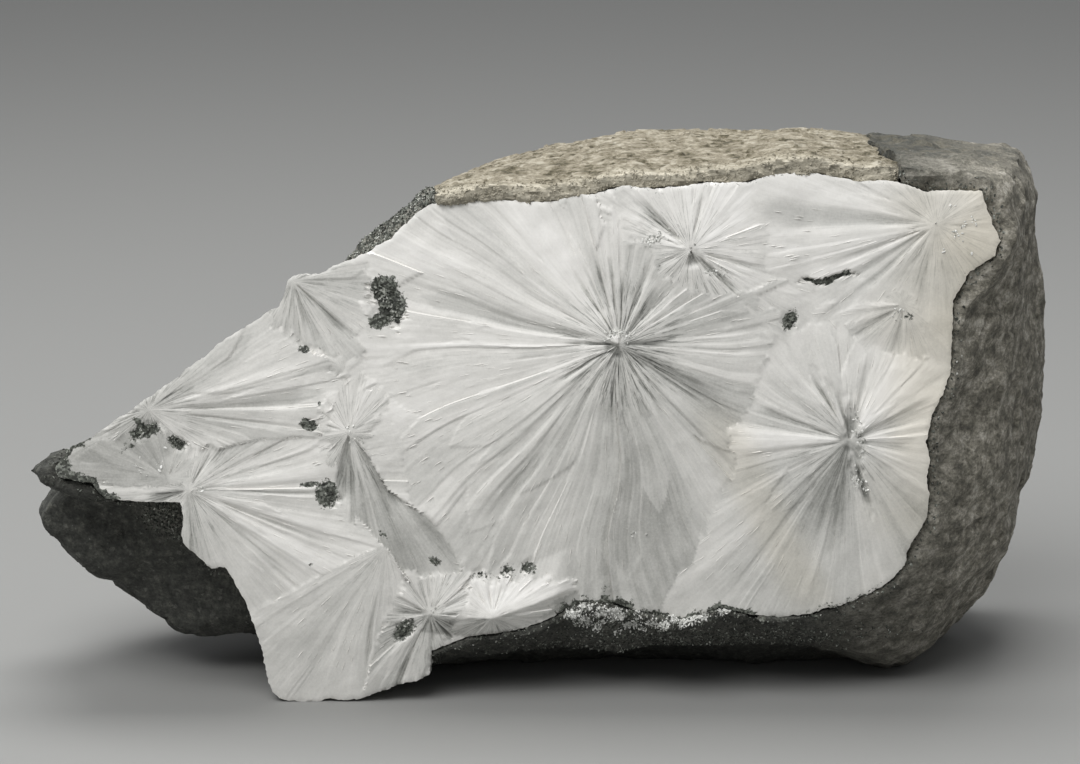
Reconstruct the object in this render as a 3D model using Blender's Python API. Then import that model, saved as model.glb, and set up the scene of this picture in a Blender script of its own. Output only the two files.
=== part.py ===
"""Pectolite on basalt: a loose specimen of radiating white pectolite on a broken block of dark basalt.

The vein's face is drawn as an outline in millimetres, x to the right and z up, and depth runs back from
the face. The vein dips: for each millimetre back it drops by DIP. Every shape is worked out in
millimetres and placed in metres.
"""

import math
import random

import bmesh
import bpy
from mathutils import Vector, noise
from mathutils.geometry import delaunay_2d_cdt

MM = 0.001
FACE_Y = -27.0  # y of the plane that the vein's face is drawn on
DIP = math.tan(math.radians(13))
VEIN_THICKNESS = 9.0
GAP = 0.3  # kept between pieces that touch

# The vein's outline on its face plane, clockwise from the left tip.
VEIN_UPPER_LEFT = (
    (-73.9, 37.6), (-71.1, 40.9), (-68.0, 42.4), (-61.4, 46.9), (-55.0, 51.5), (-48.9, 56.6),
    (-42.5, 60.7), (-39.7, 62.5), (-38.2, 66.3), (-36.8, 67.0), (-34.1, 67.3), (-28.8, 69.5),
    (-23.0, 72.6), (-19.1, 76.6),
)
VEIN_TOP = (
    (-17.6, 77.7), (-14.3, 78.0), (-6.2, 78.4), (0.5, 78.0), (4.2, 78.9), (11.6, 80.5), (16.0, 79.8),
    (23.4, 81.0), (29.3, 81.0), (34.5, 82.3), (38.9, 82.5), (46.4, 81.1), (50.1, 81.3), (56.0, 79.8),
    (64.2, 79.6),
)
VEIN_RIGHT = (
    (65.9, 74.8), (67.1, 72.4), (66.4, 70.3), (62.7, 68.0), (60.3, 63.2), (60.2, 52.0), (57.3, 45.0),
    (56.7, 41.9), (57.4, 38.8), (57.4, 30.2), (54.9, 26.0), (54.4, 23.2), (52.6, 20.5), (49.2, 18.4),
)
VEIN_BOTTOM = (
    (43.9, 15.9), (38.3, 14.5), (31.0, 14.6), (26.4, 15.9), (21.1, 13.7), (15.8, 14.9), (10.0, 16.5),
    (5.9, 16.4), (2.8, 15.6), (-0.2, 13.7), (-4.0, 12.4), (-12.4, 11.1), (-17.8, 8.9),
)
VEIN_LOBE = (
    (-18.3, 4.9), (-20.1, 4.1), (-24.0, 3.1), (-28.6, 1.0), (-33.9, 1.0), (-36.3, 0.4), (-41.0, 1.2),
    (-42.2, 2.8), (-42.9, 7.3), (-44.0, 12.1), (-45.2, 16.1), (-47.1, 20.0), (-48.8, 22.4),
)
VEIN_LOWER_LEFT = (
    (-50.7, 22.2), (-54.4, 25.5), (-55.1, 27.1), (-54.6, 29.5), (-55.0, 32.7), (-61.5, 32.7),
    (-66.5, 33.1), (-68.5, 35.2), (-73.4, 36.5),
)
OUTLINE_STEP = 2.2  # spacing of the points along the vein's broken edge
OUTLINE_JAG = 0.3

# Each spray of crystals: where it starts on the face, how far it reaches before its neighbours do, and
# how many blades it has.
SPRAYS = {
    "main": (10.7, 56.6, 30.8, 48),
    "upper": (21.3, 71.0, 26.7, 32),
    "far_right": (57.6, 74.8, 27.8, 28),
    "right": (45.4, 41.9, 25.2, 36),
    "middle_left": (-30.7, 53.2, 8.0, 12),
    "centre_left": (-29.7, 43.2, 14.3, 24),
    "left": (-53.9, 34.2, 26.3, 36),
    "left_edge": (-59.6, 46.6, 27.8, 28),
    "corner": (-37.8, 66.3, 12.0, 24),
    "lobe": (-24.4, 25.2, 13.8, 36),
    "low": (-17.8, 14.6, -1.5, 16),
    "low_bright": (-8.2, 14.1, -0.8, 12),
    "speck": (53.2, 62.7, 18.0, 16),
}
CONE_SLOPE = 0.07  # each spray is a low cone, proud at its start
BLADE_RELIEF = 0.46  # ridge above groove, half of the difference
BLADE_STATIONS = (1.6, 3.2, 5.6, 9.0, 13.5, 19.0, 25.5, 33.0, 42.0, 52.0, 63.0)
BLADE_STARTS = (0.0, 0.12, 0.06, 0.12)  # where each of four blades starts, in mm per blade of the spray
EDGE_MARGIN = 0.9  # blades stop this far from the outline and from the next spray
FACE_MIDDLE_Z = 48.0
FACE_TOP_Z = 82.0
BOW_LOW = 1.0  # how far the face falls back at its foot and at its top
BOW_HIGH = 0.8

# Dark chips of wall rock in the face: place, length, width, and tilt in degrees of the long side from x.
CHIPS = {
    "basalt_chip_corner": (-24.0, 62.9, 7.6, 3.4, -58),
    "basalt_chip_left_tip": (-60.4, 43.5, 4.8, 2.4, 25),
    "basalt_chip_left_small": (-55.5, 41.5, 2.8, 1.8, -30),
    "basalt_chip_left_middle": (-33.0, 33.4, 4.6, 2.6, -48),
    "basalt_chip_left_upper": (-35.8, 44.2, 2.6, 1.8, 0),
    "basalt_chip_low_left": (-21.7, 12.1, 4.0, 2.4, 50),
    "basalt_chip_low_1": (-10.1, 20.9, 3.2, 2.0, 10),
    "basalt_chip_low_2": (-6.4, 21.6, 2.8, 1.8, 70),
    "basalt_chip_low_3": (-2.8, 22.2, 2.6, 2.2, 40),
    "basalt_chip_right": (36.3, 60.4, 3.4, 2.2, 60),
}
CHIP_SIDES = 9
CHIP_PROUD = 0.3
CHIP_SUNK = 1.6
CRACK = (41.9, 66.7, 8.4, 1.3, 12)  # an open crack in the face: place, length, width and tilt
CRACK_DEPTH = 2.2

# The basalt block as sections at their depths, each an outline around BLOCK_CENTRE.
BLOCK_CENTRE = (8.0, 42.0)
BLOCK_SECTIONS = {
    0.5: (
        (-74.5, 39.2), (-78.4, 36.6), (-75.5, 34.0), (-71.0, 32.4), (-65.5, 32.0), (-60.0, 34.0),
        (-52.0, 33.0), (-50.0, 26.0), (-43.0, 22.0), (-38.0, 12.0), (-30.0, 8.0), (-21.0, 7.2),
        (-18.3, 6.0), (-15.5, 8.6), (-8.0, 10.6), (-1.0, 12.2), (3.0, 14.4), (10.0, 15.2), (15.8, 13.6),
        (21.1, 12.4), (26.4, 14.6), (31.0, 13.4), (38.5, 13.2), (46.5, 15.6), (54.0, 20.0),
        (56.0, 23.0), (59.0, 28.0), (58.8, 34.0), (58.3, 42.0), (61.8, 52.0), (62.0, 62.5),
        (68.0, 69.3), (68.8, 72.5), (67.4, 75.5), (66.2, 81.6), (50.0, 83.4), (20.0, 83.2), (0.0, 80.8),
        (-14.0, 79.3), (-18.0, 75.3), (-24.0, 70.0), (-33.0, 64.0), (-40.0, 59.0), (-52.0, 50.0),
        (-64.0, 42.5), (-71.0, 39.5),
    ),
    8.0: (
        (-72.0, 38.2), (-77.6, 37.0), (-78.4, 34.8), (-74.5, 32.4), (-64.0, 31.5), (-54.0, 31.0),
        (-51.0, 27.0), (-45.0, 20.0), (-38.0, 12.0), (-30.0, 8.0), (-21.0, 6.5), (-18.2, 4.8),
        (-7.0, 5.8), (0.0, 7.3), (8.3, 6.6), (16.0, 8.2), (25.4, 6.6), (39.3, 7.1), (53.3, 5.6),
        (57.0, 8.0), (62.0, 14.0), (66.0, 24.0), (68.5, 34.0), (69.5, 54.0), (70.2, 64.0), (71.8, 71.0),
        (72.0, 77.5), (70.6, 82.0), (50.0, 84.0), (20.0, 84.0), (0.0, 81.5), (-16.0, 81.0),
        (-19.5, 78.4), (-21.5, 75.6), (-24.5, 73.0), (-30.5, 69.0), (-34.5, 64.5), (-40.0, 57.0),
        (-52.0, 47.5), (-64.0, 40.0),
    ),
    14.0: (
        (-71.0, 34.5), (-75.8, 31.0), (-77.3, 29.0), (-78.8, 25.8), (-78.0, 23.6), (-75.5, 21.5),
        (-69.7, 16.7), (-64.3, 13.5), (-60.2, 10.9), (-55.1, 7.8), (-44.9, 7.6), (-38.0, 4.5),
        (-30.0, 2.0), (-21.0, 2.6), (-18.0, 3.4), (-7.3, 3.9), (5.3, 5.5), (16.3, 6.4), (25.7, 4.8),
        (39.8, 5.2), (53.0, 3.2), (57.5, 1.6), (60.0, 4.5), (65.5, 13.0), (70.0, 22.5), (72.5, 33.0),
        (73.3, 57.0), (73.8, 73.0), (74.2, 78.0), (71.6, 82.2), (50.0, 84.0), (20.0, 84.0), (0.0, 81.8),
        (-16.2, 79.3), (-19.2, 75.9), (-20.9, 73.4), (-27.0, 68.4), (-33.0, 62.5), (-40.0, 56.5),
        (-50.0, 50.0), (-60.0, 42.5), (-67.0, 37.0),
    ),
    24.0: (
        (-77.5, 28.3), (-80.0, 25.0), (-80.3, 22.9), (-79.4, 20.7), (-76.5, 18.4), (-71.0, 13.8),
        (-65.5, 10.5), (-61.3, 7.9), (-56.1, 4.7), (-47.0, 4.2), (-38.0, 2.5), (-28.0, 0.5),
        (-20.0, -1.0), (0.0, -1.5), (52.0, -1.5), (59.0, -1.2), (62.2, 2.4), (67.4, 9.0), (73.5, 18.5),
        (75.0, 24.0), (76.4, 31.0), (77.6, 50.0), (77.3, 60.0), (75.6, 71.0), (75.8, 77.0),
        (73.0, 82.6), (50.0, 84.3), (20.0, 84.3), (0.0, 81.6), (-10.0, 77.8), (-16.5, 75.6),
        (-21.0, 70.5), (-27.0, 65.5), (-40.0, 54.0), (-50.0, 48.0), (-60.0, 40.5), (-70.0, 33.5),
    ),
    40.0: (
        (-58.0, 34.0), (-63.0, 25.0), (-59.0, 14.0), (-46.0, 6.5), (-28.0, 1.0), (-18.0, -1.5),
        (50.0, -1.5), (57.0, -1.0), (64.0, 1.0), (69.0, 5.0), (74.0, 11.5), (77.0, 20.0), (78.4, 27.0),
        (79.7, 47.0), (78.9, 58.0), (77.4, 71.5), (77.0, 76.0), (74.6, 81.2), (60.9, 80.4),
        (50.0, 82.0), (20.0, 82.2), (0.0, 79.5), (-8.0, 75.8), (-14.0, 72.8), (-22.0, 66.0),
        (-32.0, 56.0), (-45.0, 45.0),
    ),
    53.0: (
        (-45.0, 30.0), (-40.0, 17.0), (-28.0, 7.5), (-10.0, 2.0), (20.0, 1.5), (45.0, 2.0), (60.0, 6.0),
        (69.0, 14.0), (73.5, 24.0), (75.5, 36.0), (75.5, 48.0), (74.0, 60.0), (71.5, 70.0),
        (67.0, 76.5), (50.0, 79.0), (20.0, 79.0), (0.0, 75.5), (-10.0, 66.0), (-24.0, 54.0),
        (-38.0, 42.0),
    ),
}
BLOCK_ROWS = (0.5, 4.2, 8.0, 11.0, 14.0, 19.0, 24.0, 29.5, 35.0, 40.0, 44.5, 49.0, 53.0)
BLOCK_COLUMN_STEP = 3.8  # spacing of the loft's columns around the widest section
WIDEST_SECTION = 24.0
BACK_STEP = 7.0  # spacing of the points over the back face
BACK_BULGE = 2.0
LUMP_SIZE, LUMP_HEIGHT = 15.0, 1.5
CHIPPED_SIZE, CHIPPED_HEIGHT = 5.0, 1.0
SHIFT_APART = ((0.0, 0.0, 0.0), (31.4, 7.7, 0.0), (0.0, 17.3, 52.1))  # keeps the three directions unalike

# The weathered crust over the top: its run along x, its front lip and its back edge.
CRUST_LEFT, CRUST_RIGHT = -16.5, 50.5
CRUST_FRONT, CRUST_BACK = 0.5, 46.0
CRUST_BACK_EDGE = (
    (-20.0, 72.4), (-13.1, 74.9), (-6.6, 77.2), (0.6, 79.3), (8.6, 80.6), (16.7, 81.6), (41.6, 81.9),
    (60.0, 80.6),
)
CRUST_BACK_WANDER = 3.0
CRUST_LEFT_TURN = 14.0  # how far the left end turns in towards the back
CRUST_LIP = 1.9  # height of the lip above the vein
CRUST_CROWN = 1.1
CRUST_BACK_THICKNESS = 2.6
CRUST_COLUMNS = 27
CRUST_ROWS = (0.5, 3.5, 6.5, 9.6, 13.5, 17.5, 22.0, 27.0, 32.0, 37.0, 42.0, 46.0)
LEDGE_HEIGHT = 0.45
OPEN_OVER_VEIN = 1.2  # the block keeps this far below the crust where the vein lies between them

CUTTER_OVER = 12.0  # how far the cutters run past the surfaces they open
SEED = 7


def placed(x, depth, z):
    """A point of the block's own frame, in metres."""
    return Vector((x, FACE_Y + depth, z)) * MM


def placed_on_dip(x, depth, z):
    """A point drawn on the face plane and set back along the vein's dip, no lower than the ground."""
    return placed(x, depth, max(0.0, z - DIP * depth))


def material(name, colour, roughness):
    finish = bpy.data.materials.new(name)
    finish.use_nodes = True
    shader = finish.node_tree.nodes["Principled BSDF"]
    shader.inputs["Base Color"].default_value = (*colour, 1.0)
    shader.inputs["Roughness"].default_value = roughness
    return finish


def add_object(name, vertices, faces, finish=None):
    """A closed mesh object whose faces all point out."""
    mesh = bpy.data.meshes.new(name)
    shape = bmesh.new()
    points = [shape.verts.new(vertex) for vertex in vertices]
    for face in faces:
        shape.faces.new([points[i] for i in face])
    bmesh.ops.recalc_face_normals(shape, faces=shape.faces)
    shape.to_mesh(mesh)
    shape.free()
    if finish:
        mesh.materials.append(finish)
    piece = bpy.data.objects.new(name, mesh)
    bpy.context.scene.collection.objects.link(piece)
    return piece


def add_cutter(name, vertices, faces):
    cutter = add_object(name, vertices, faces)
    cutter.hide_render = True
    cutter.display_type = "WIRE"
    return cutter


def cut(piece, cutter):
    boolean = piece.modifiers.new("cut by " + cutter.name, "BOOLEAN")
    boolean.operation = "DIFFERENCE"
    boolean.solver = "EXACT"
    boolean.object = cutter


def along(line, x):
    """Height at x of a line given by points in order of x."""
    for (x0, z0), (x1, z1) in zip(line, line[1:]):
        if x <= x1 or (x1, z1) == line[-1]:
            share = min(max((x - x0) / (x1 - x0), 0.0), 1.0)
            return z0 + share * (z1 - z0)


def ring_faces(first, second, count):
    """Quads between two rings of the same count, given by their first indices."""
    return [
        (first + i, first + (i + 1) % count, second + (i + 1) % count, second + i) for i in range(count)
    ]


def outward(ring, i):
    """Unit normal that points out of a clockwise ring at its point i."""
    before, after = Vector(ring[i - 1]), Vector(ring[(i + 1) % len(ring)])
    run = (after - before).normalized()
    return Vector((-run.y, run.x))


def widened(ring, distance):
    return [tuple(Vector(point) + outward(ring, i) * distance) for i, point in enumerate(ring)]


def vein_outline():
    """The vein's broken edge: the outline's corners, with small jags between them."""
    corners = VEIN_UPPER_LEFT + VEIN_TOP + VEIN_RIGHT + VEIN_BOTTOM + VEIN_LOBE + VEIN_LOWER_LEFT
    ring = []
    for start, end in zip(corners, corners[1:] + corners[:1]):
        run = Vector(end) - Vector(start)
        steps = max(1, round(run.length / OUTLINE_STEP))
        ring += [tuple(Vector(start) + run * (k / steps)) for k in range(steps)]
    jags = [OUTLINE_JAG * noise.noise(Vector((x * 0.9, z * 0.9, 3.1))) for x, z in ring]
    return [tuple(Vector(point) + outward(ring, i) * jags[i]) for i, point in enumerate(ring)]


def inside(ring, x, z):
    crossings = 0
    for (x0, z0), (x1, z1) in zip(ring, ring[1:] + ring[:1]):
        if (z0 > z) != (z1 > z) and x < x0 + (z - z0) / (z1 - z0) * (x1 - x0):
            crossings += 1
    return crossings % 2 == 1


def distance_to_ring(ring, x, z):
    point = Vector((x, z))
    nearest = math.inf
    for start, end in zip(ring, ring[1:] + ring[:1]):
        run = Vector(end) - Vector(start)
        share = min(max((point - Vector(start)).dot(run) / run.length_squared, 0.0), 1.0)
        nearest = min(nearest, (point - Vector(start) - run * share).length)
    return nearest


def lift(spray, x, z):
    """How far inside a spray's reach a point lies: the spray with the most lift holds the point."""
    centre_x, centre_z, reach, _ = SPRAYS[spray]
    return reach - math.hypot(x - centre_x, z - centre_z)


def face_depth(x, z):
    """Depth of the vein's face: a low cone for each spray, on a face that bows back at its foot and top."""
    low = max(0.0, (FACE_MIDDLE_Z - z) / FACE_MIDDLE_Z)
    high = max(0.0, (z - FACE_MIDDLE_Z) / (FACE_TOP_Z - FACE_MIDDLE_Z))
    bow = BOW_LOW * low**2 + BOW_HIGH * high**2
    return bow - CONE_SLOPE * max(lift(spray, x, z) for spray in SPRAYS)


def blade_points(ring, spray, angle, start):
    """Points along one blade's edge, from its start out to the outline or the next spray."""
    centre_x, centre_z, _, _ = SPRAYS[spray]
    others = [other for other in SPRAYS if other != spray]
    points = []
    for radius in BLADE_STATIONS:
        if radius < start:
            continue
        x = centre_x + radius * math.cos(angle)
        z = centre_z + radius * math.sin(angle)
        held = lift(spray, x, z) - max(lift(other, x, z) for other in others)
        if held < EDGE_MARGIN or not inside(ring, x, z) or distance_to_ring(ring, x, z) < EDGE_MARGIN:
            break
        points.append((x, z, radius))
    return points


def vein_face(ring, rng):
    """The face as points (x, depth, z) and triangles. The outline's points come first, in order."""
    flat = list(ring)
    relief = [0.0] * len(ring)
    edges = []
    for spray, (centre_x, centre_z, _, blades) in SPRAYS.items():
        flat.append((centre_x, centre_z))
        relief.append(0.0)
        for blade in range(blades):
            angle = math.tau * (blade + rng.uniform(-0.28, 0.28)) / blades
            sharpness = rng.uniform(0.6, 1.4)
            ridge = -1.0 if blade % 2 else 1.0
            start = BLADE_STARTS[blade % 4] * blades
            last = None
            for x, z, radius in blade_points(ring, spray, angle, start):
                flat.append((x, z))
                relief.append(ridge * sharpness * BLADE_RELIEF * radius / (radius + 4.0))
                if last is not None:
                    edges.append((last, len(flat) - 1))
                last = len(flat) - 1
    made, _, triangles, origins, _, _ = delaunay_2d_cdt(
        [Vector(point) for point in flat], edges, [list(range(len(ring)))], 1, 1e-5
    )
    order = sorted(range(len(made)), key=lambda i: origins[i][0])
    rank = {old: new for new, old in enumerate(order)}
    points = []
    for old in order:
        x, z = made[old]
        points.append((x, face_depth(x, z) + relief[origins[old][0]], z))
    return points, [[rank[i] for i in triangle] for triangle in triangles]


def flat_sheet(points, first):
    """Triangles over a closed outline, numbered from the place of its first point."""
    sheet = delaunay_2d_cdt([Vector(point) for point in points], [], [list(range(len(points)))], 1, 1e-6)
    return [[first + sheet[3][i][0] for i in triangle] for triangle in sheet[2]]


def prism(ring, front, back):
    """A closed prism on a ring, between two depths along the vein's dip."""
    count = len(ring)
    vertices = [placed(x, depth, z - DIP * depth) for depth in (front, back) for x, z in ring]
    return vertices, ring_faces(0, count, count) + flat_sheet(ring, 0) + flat_sheet(ring, count)


def make_vein(ring, finish):
    points, faces = vein_face(ring, random.Random(SEED))
    count = len(ring)
    vertices = [placed_on_dip(*point) for point in points]
    first_back = len(vertices)
    back = [placed_on_dip(x, VEIN_THICKNESS, z) for x, z in ring]
    vertices += back
    faces += ring_faces(0, first_back, count)
    faces += flat_sheet([(point.x / MM, point.z / MM) for point in back], first_back)
    return add_object("pectolite_vein", vertices, faces, finish)


def oval(place, grow, shrink, rng_seed):
    """An uneven oval ring around a chip's place: its size times shrink, plus grow."""
    x, z, length, width, tilt = place
    rng = random.Random(rng_seed)
    turn = math.radians(tilt)
    ring = []
    for side in range(CHIP_SIDES):
        angle = -math.tau * (side + rng.uniform(-0.2, 0.2)) / CHIP_SIDES
        reach = rng.uniform(0.82, 1.1) * shrink
        along_chip = (length / 2 * reach + grow) * math.cos(angle)
        across_chip = (width / 2 * reach + grow) * math.sin(angle)
        ring.append((
            x + along_chip * math.cos(turn) - across_chip * math.sin(turn),
            z + along_chip * math.sin(turn) + across_chip * math.cos(turn),
        ))
    return ring


def stacked_rings(place, seed, layers):
    """A closed lump from layers of (depth behind the face, share of size, extra size), front to back."""
    x, z = place[:2]
    face = face_depth(x, z)
    vertices, faces = [], []
    for depth, shrink, grow in layers:
        vertices += [placed_on_dip(px, face + depth, pz) for px, pz in oval(place, grow, shrink, seed)]
    for layer in range(len(layers) - 1):
        faces += ring_faces(layer * CHIP_SIDES, (layer + 1) * CHIP_SIDES, CHIP_SIDES)
    last = len(vertices) - CHIP_SIDES
    faces += [tuple(range(CHIP_SIDES)), tuple(range(last, last + CHIP_SIDES))]
    return vertices, faces


def make_chips(vein, finish):
    """The dark chips, and their pits in the vein."""
    for seed, (name, place) in enumerate(CHIPS.items()):
        chip_layers = ((-CHIP_PROUD, 0.62, 0.0), (0.2, 1.0, 0.0), (CHIP_SUNK, 0.55, 0.0))
        chip = add_object(name, *stacked_rings(place, seed, chip_layers), finish)
        chip.data.shade_flat()
        pit_layers = ((-4.0, 1.0, GAP), (0.5, 1.0, GAP), (CHIP_SUNK + GAP, 0.55, GAP))
        cut(vein, add_cutter(name + "_pit", *stacked_rings(place, seed, pit_layers)))
    crack_layers = ((-4.0, 1.0, 0.0), (0.4, 1.0, 0.0), (CRACK_DEPTH, 0.5, 0.0))
    cut(vein, add_cutter("crack_cutter", *stacked_rings(CRACK, len(CHIPS), crack_layers)))


def reach_of_section(section, angle):
    """Distance from the block's centre to a section's outline in one direction."""
    direction = Vector((math.cos(angle), math.sin(angle)))
    reach = 0.0
    for start, end in zip(section, section[1:] + section[:1]):
        near, far = Vector(start) - Vector(BLOCK_CENTRE), Vector(end) - Vector(BLOCK_CENTRE)
        run = far - near
        across = direction.x * run.y - direction.y * run.x
        if abs(across) < 1e-9:
            continue
        share = (near.y * direction.x - near.x * direction.y) / -across
        if -1e-9 <= share <= 1.0 + 1e-9:
            reach = max(reach, (near + run * share).dot(direction))
    return reach


def block_angles():
    """Directions of the loft's columns, evenly spaced around the widest section."""
    section = BLOCK_SECTIONS[WIDEST_SECTION]
    angles = []
    for start, end in zip(section, section[1:] + section[:1]):
        run = Vector(end) - Vector(start)
        steps = max(1, round(run.length / BLOCK_COLUMN_STEP))
        for k in range(steps):
            point = Vector(start) + run * (k / steps) - Vector(BLOCK_CENTRE)
            angles.append(math.atan2(point.y, point.x))
    return angles


def block_reach(depth, angle):
    depths = sorted(BLOCK_SECTIONS)
    for near, far in zip(depths, depths[1:]):
        if depth <= far:
            share = (depth - near) / (far - near)
            near_reach = reach_of_section(BLOCK_SECTIONS[near], angle)
            return near_reach + share * (reach_of_section(BLOCK_SECTIONS[far], angle) - near_reach)
    return reach_of_section(BLOCK_SECTIONS[depths[-1]], angle)


def shift(here, size):
    """A smooth random direction at a point, which changes over lumps of this size."""
    return Vector([noise.noise(here / size + Vector(apart)) for apart in SHIFT_APART])


def broken(x, depth, z):
    """A point of the block moved to its place on the rough break, no lower than the ground."""
    here = Vector((x, depth, z))
    x, depth, z = here + shift(here, LUMP_SIZE) * LUMP_HEIGHT + shift(here, CHIPPED_SIZE) * CHIPPED_HEIGHT
    return placed(x, depth, max(0.0, z))


def back_points(outline, rng):
    """Points scattered over the back face, inside its outline, which bulges a little in the middle."""
    centre_x, centre_z = BLOCK_CENTRE
    reach_x = max(x for x, _ in outline) - centre_x
    points = []
    for row in range(-12, 13):
        for column in range(-14, 15):
            x = centre_x + BACK_STEP * (column + 0.5 * (row % 2) + rng.uniform(-0.3, 0.3))
            z = centre_z + BACK_STEP * (row + rng.uniform(-0.3, 0.3))
            if inside(outline, x, z) and distance_to_ring(outline, x, z) > BACK_STEP / 2:
                share = math.hypot(x - centre_x, z - centre_z) / reach_x
                points.append((x, BLOCK_ROWS[-1] + BACK_BULGE * (1.0 - share**2), z))
    return points


def make_block(finish):
    """The basalt block: a loft through its sections, closed by a flat front and a rough back."""
    angles = block_angles()
    count = len(angles)
    centre_x, centre_z = BLOCK_CENTRE
    rings = []
    for depth in BLOCK_ROWS:
        reaches = [block_reach(depth, angle) for angle in angles]
        rings.append([
            (centre_x + reach * math.cos(angle), centre_z + reach * math.sin(angle))
            for reach, angle in zip(reaches, angles)
        ])
    vertices = [broken(x, depth, z) for depth, ring in zip(BLOCK_ROWS, rings) for x, z in ring]
    faces = []
    for ring in range(len(rings) - 1):
        faces += ring_faces(ring * count, (ring + 1) * count, count)
    scattered = back_points(rings[-1], random.Random(SEED))
    last = len(vertices) - count
    vertices += [broken(*point) for point in scattered]
    sheet = delaunay_2d_cdt(
        [Vector(point) for point in rings[-1]] + [Vector((x, z)) for x, _, z in scattered],
        [], [list(range(count))], 1, 1e-6,
    )
    faces += [[last + sheet[3][i][0] for i in triangle] for triangle in sheet[2]]
    vertices.append(placed(centre_x, BLOCK_ROWS[0], centre_z))
    faces += [(len(vertices) - 1, i, (i + 1) % count) for i in range(count)]
    return add_object("basalt_matrix", vertices, faces, finish)


def crust_underside(ring_top, x, depth):
    """The crust lies on the vein's top edge, then on the block behind it."""
    rest = max(along(ring_top, x + shift) for shift in (-1.3, 0.0, 1.3)) + GAP
    behind_vein = CRUST_ROWS[3]
    if depth <= behind_vein:
        return rest - DIP * depth
    share = (depth - behind_vein) / (CRUST_BACK - behind_vein)
    back = along(CRUST_BACK_EDGE, x) - CRUST_BACK_THICKNESS
    return (1 - share) * (rest - DIP * behind_vein) + share * back


def crust_top(ring_top, x, depth):
    """The crust's weathered top: from its lip to the back edge, crowned, with ledges that run along x."""
    share = depth / CRUST_BACK
    lip = along(ring_top, x) + GAP + CRUST_LIP * min(1.0, 0.45 + (x - CRUST_LEFT) / 18.0)
    crown = CRUST_CROWN * math.sin(math.pi * share)
    ledges = LEDGE_HEIGHT * noise.noise(Vector((x / 14.0, depth / 2.2, 8.0)))
    return (1 - share) * lip + share * along(CRUST_BACK_EDGE, x) + crown + ledges


def crust_depth(x, depth):
    """Depth of a point of the crust, whose back edge wanders."""
    return depth + CRUST_BACK_WANDER * noise.noise(Vector((x / 9.0, 0.0, 4.0))) * (depth / CRUST_BACK) ** 3


def crust_grid(rows, columns, top_of, bottom_of):
    """A closed slab on a grid of depths and columns."""
    spots = [(x, depth) for depth in rows for x in columns(depth)]
    vertices = [placed(x, crust_depth(x, depth), top_of(x, depth)) for x, depth in spots]
    vertices += [placed(x, crust_depth(x, depth), bottom_of(x, depth)) for x, depth in spots]
    wide = len(columns(rows[0]))
    under = wide * len(rows)
    faces = []
    for row in range(len(rows) - 1):
        for column in range(wide - 1):
            corner = row * wide + column
            quad = (corner, corner + 1, corner + wide + 1, corner + wide)
            faces += [quad, tuple(under + i for i in quad)]
    edge = list(range(wide)) + [row * wide + wide - 1 for row in range(1, len(rows))]
    edge += [(len(rows) - 1) * wide + column for column in range(wide - 2, -1, -1)]
    edge += [row * wide for row in range(len(rows) - 2, 0, -1)]
    for here, there in zip(edge, edge[1:] + edge[:1]):
        faces.append((here, there, under + there, under + here))
    return vertices, faces


def crust_columns(depth):
    """The crust's columns at one depth: its two ends wander."""
    turned_in = CRUST_LEFT_TURN * max(0.0, depth / CRUST_BACK - 0.35)
    left = CRUST_LEFT + turned_in + 1.6 * noise.noise(Vector((depth / 6.0, 1.0, 0.0)))
    right = CRUST_RIGHT + 4.0 * noise.noise(Vector((depth / 9.0, 5.0, 0.0)))
    return [left + (right - left) * i / (CRUST_COLUMNS - 1) for i in range(CRUST_COLUMNS)]


def make_crust(ring, block, finish):
    ring_top = sorted((x, z) for x, z in ring if z > 70.0 and CRUST_LEFT - 4.0 < x < CRUST_RIGHT + 6.0)

    def underside(x, depth):
        return crust_underside(ring_top, x, depth)

    def top(x, depth):
        return crust_top(ring_top, x, depth)

    crust = add_object("weathered_crust", *crust_grid(CRUST_ROWS, crust_columns, top, underside), finish)
    cutter_rows = (CRUST_FRONT - CUTTER_OVER, *CRUST_ROWS[1:-1], CRUST_BACK + GAP)

    def cutter_columns(depth):
        columns = crust_columns(min(max(depth, CRUST_FRONT), CRUST_BACK))
        return [columns[0] - GAP, *columns[1:-1], columns[-1] + GAP]

    def cutter_underside(x, depth):
        nearest = min(max(depth, CRUST_FRONT), CRUST_BACK)
        clear_of_vein = OPEN_OVER_VEIN if depth < VEIN_THICKNESS else 0.0
        return underside(x, nearest) - GAP - clear_of_vein

    def cutter_top(x, depth):
        return FACE_TOP_Z + CUTTER_OVER

    room = crust_grid(cutter_rows, cutter_columns, cutter_top, cutter_underside)
    cut(block, add_cutter("crust_room", *room))
    return crust


def main():
    for obj in list(bpy.data.objects):
        bpy.data.objects.remove(obj)
    basalt = material("basalt", (0.075, 0.073, 0.068), 0.85)
    white = material("pectolite", (0.72, 0.72, 0.69), 0.45)
    tan = material("weathered rind", (0.36, 0.31, 0.23), 0.9)
    ring = vein_outline()
    vein = make_vein(ring, white)
    make_chips(vein, basalt)
    block = make_block(basalt)
    cut(block, add_cutter("vein_pocket", *prism(widened(ring, GAP), -CUTTER_OVER, VEIN_THICKNESS + GAP)))
    make_crust(ring, block, tan)


main()
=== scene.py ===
"""Looks for a loose specimen of radiating white pectolite on a broken block of dark basalt.

Lengths are in millimetres until a mesh is made. The vein's face is drawn on a plane, x to the right and z
up, and depth runs back from it along the vein's dip. Each spray of crystals is read in turns and radius
around the place where it starts.
"""

import math
from functools import partial

import bmesh
import bpy
import numpy as np
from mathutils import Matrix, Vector
from mathutils.geometry import delaunay_2d_cdt


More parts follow.
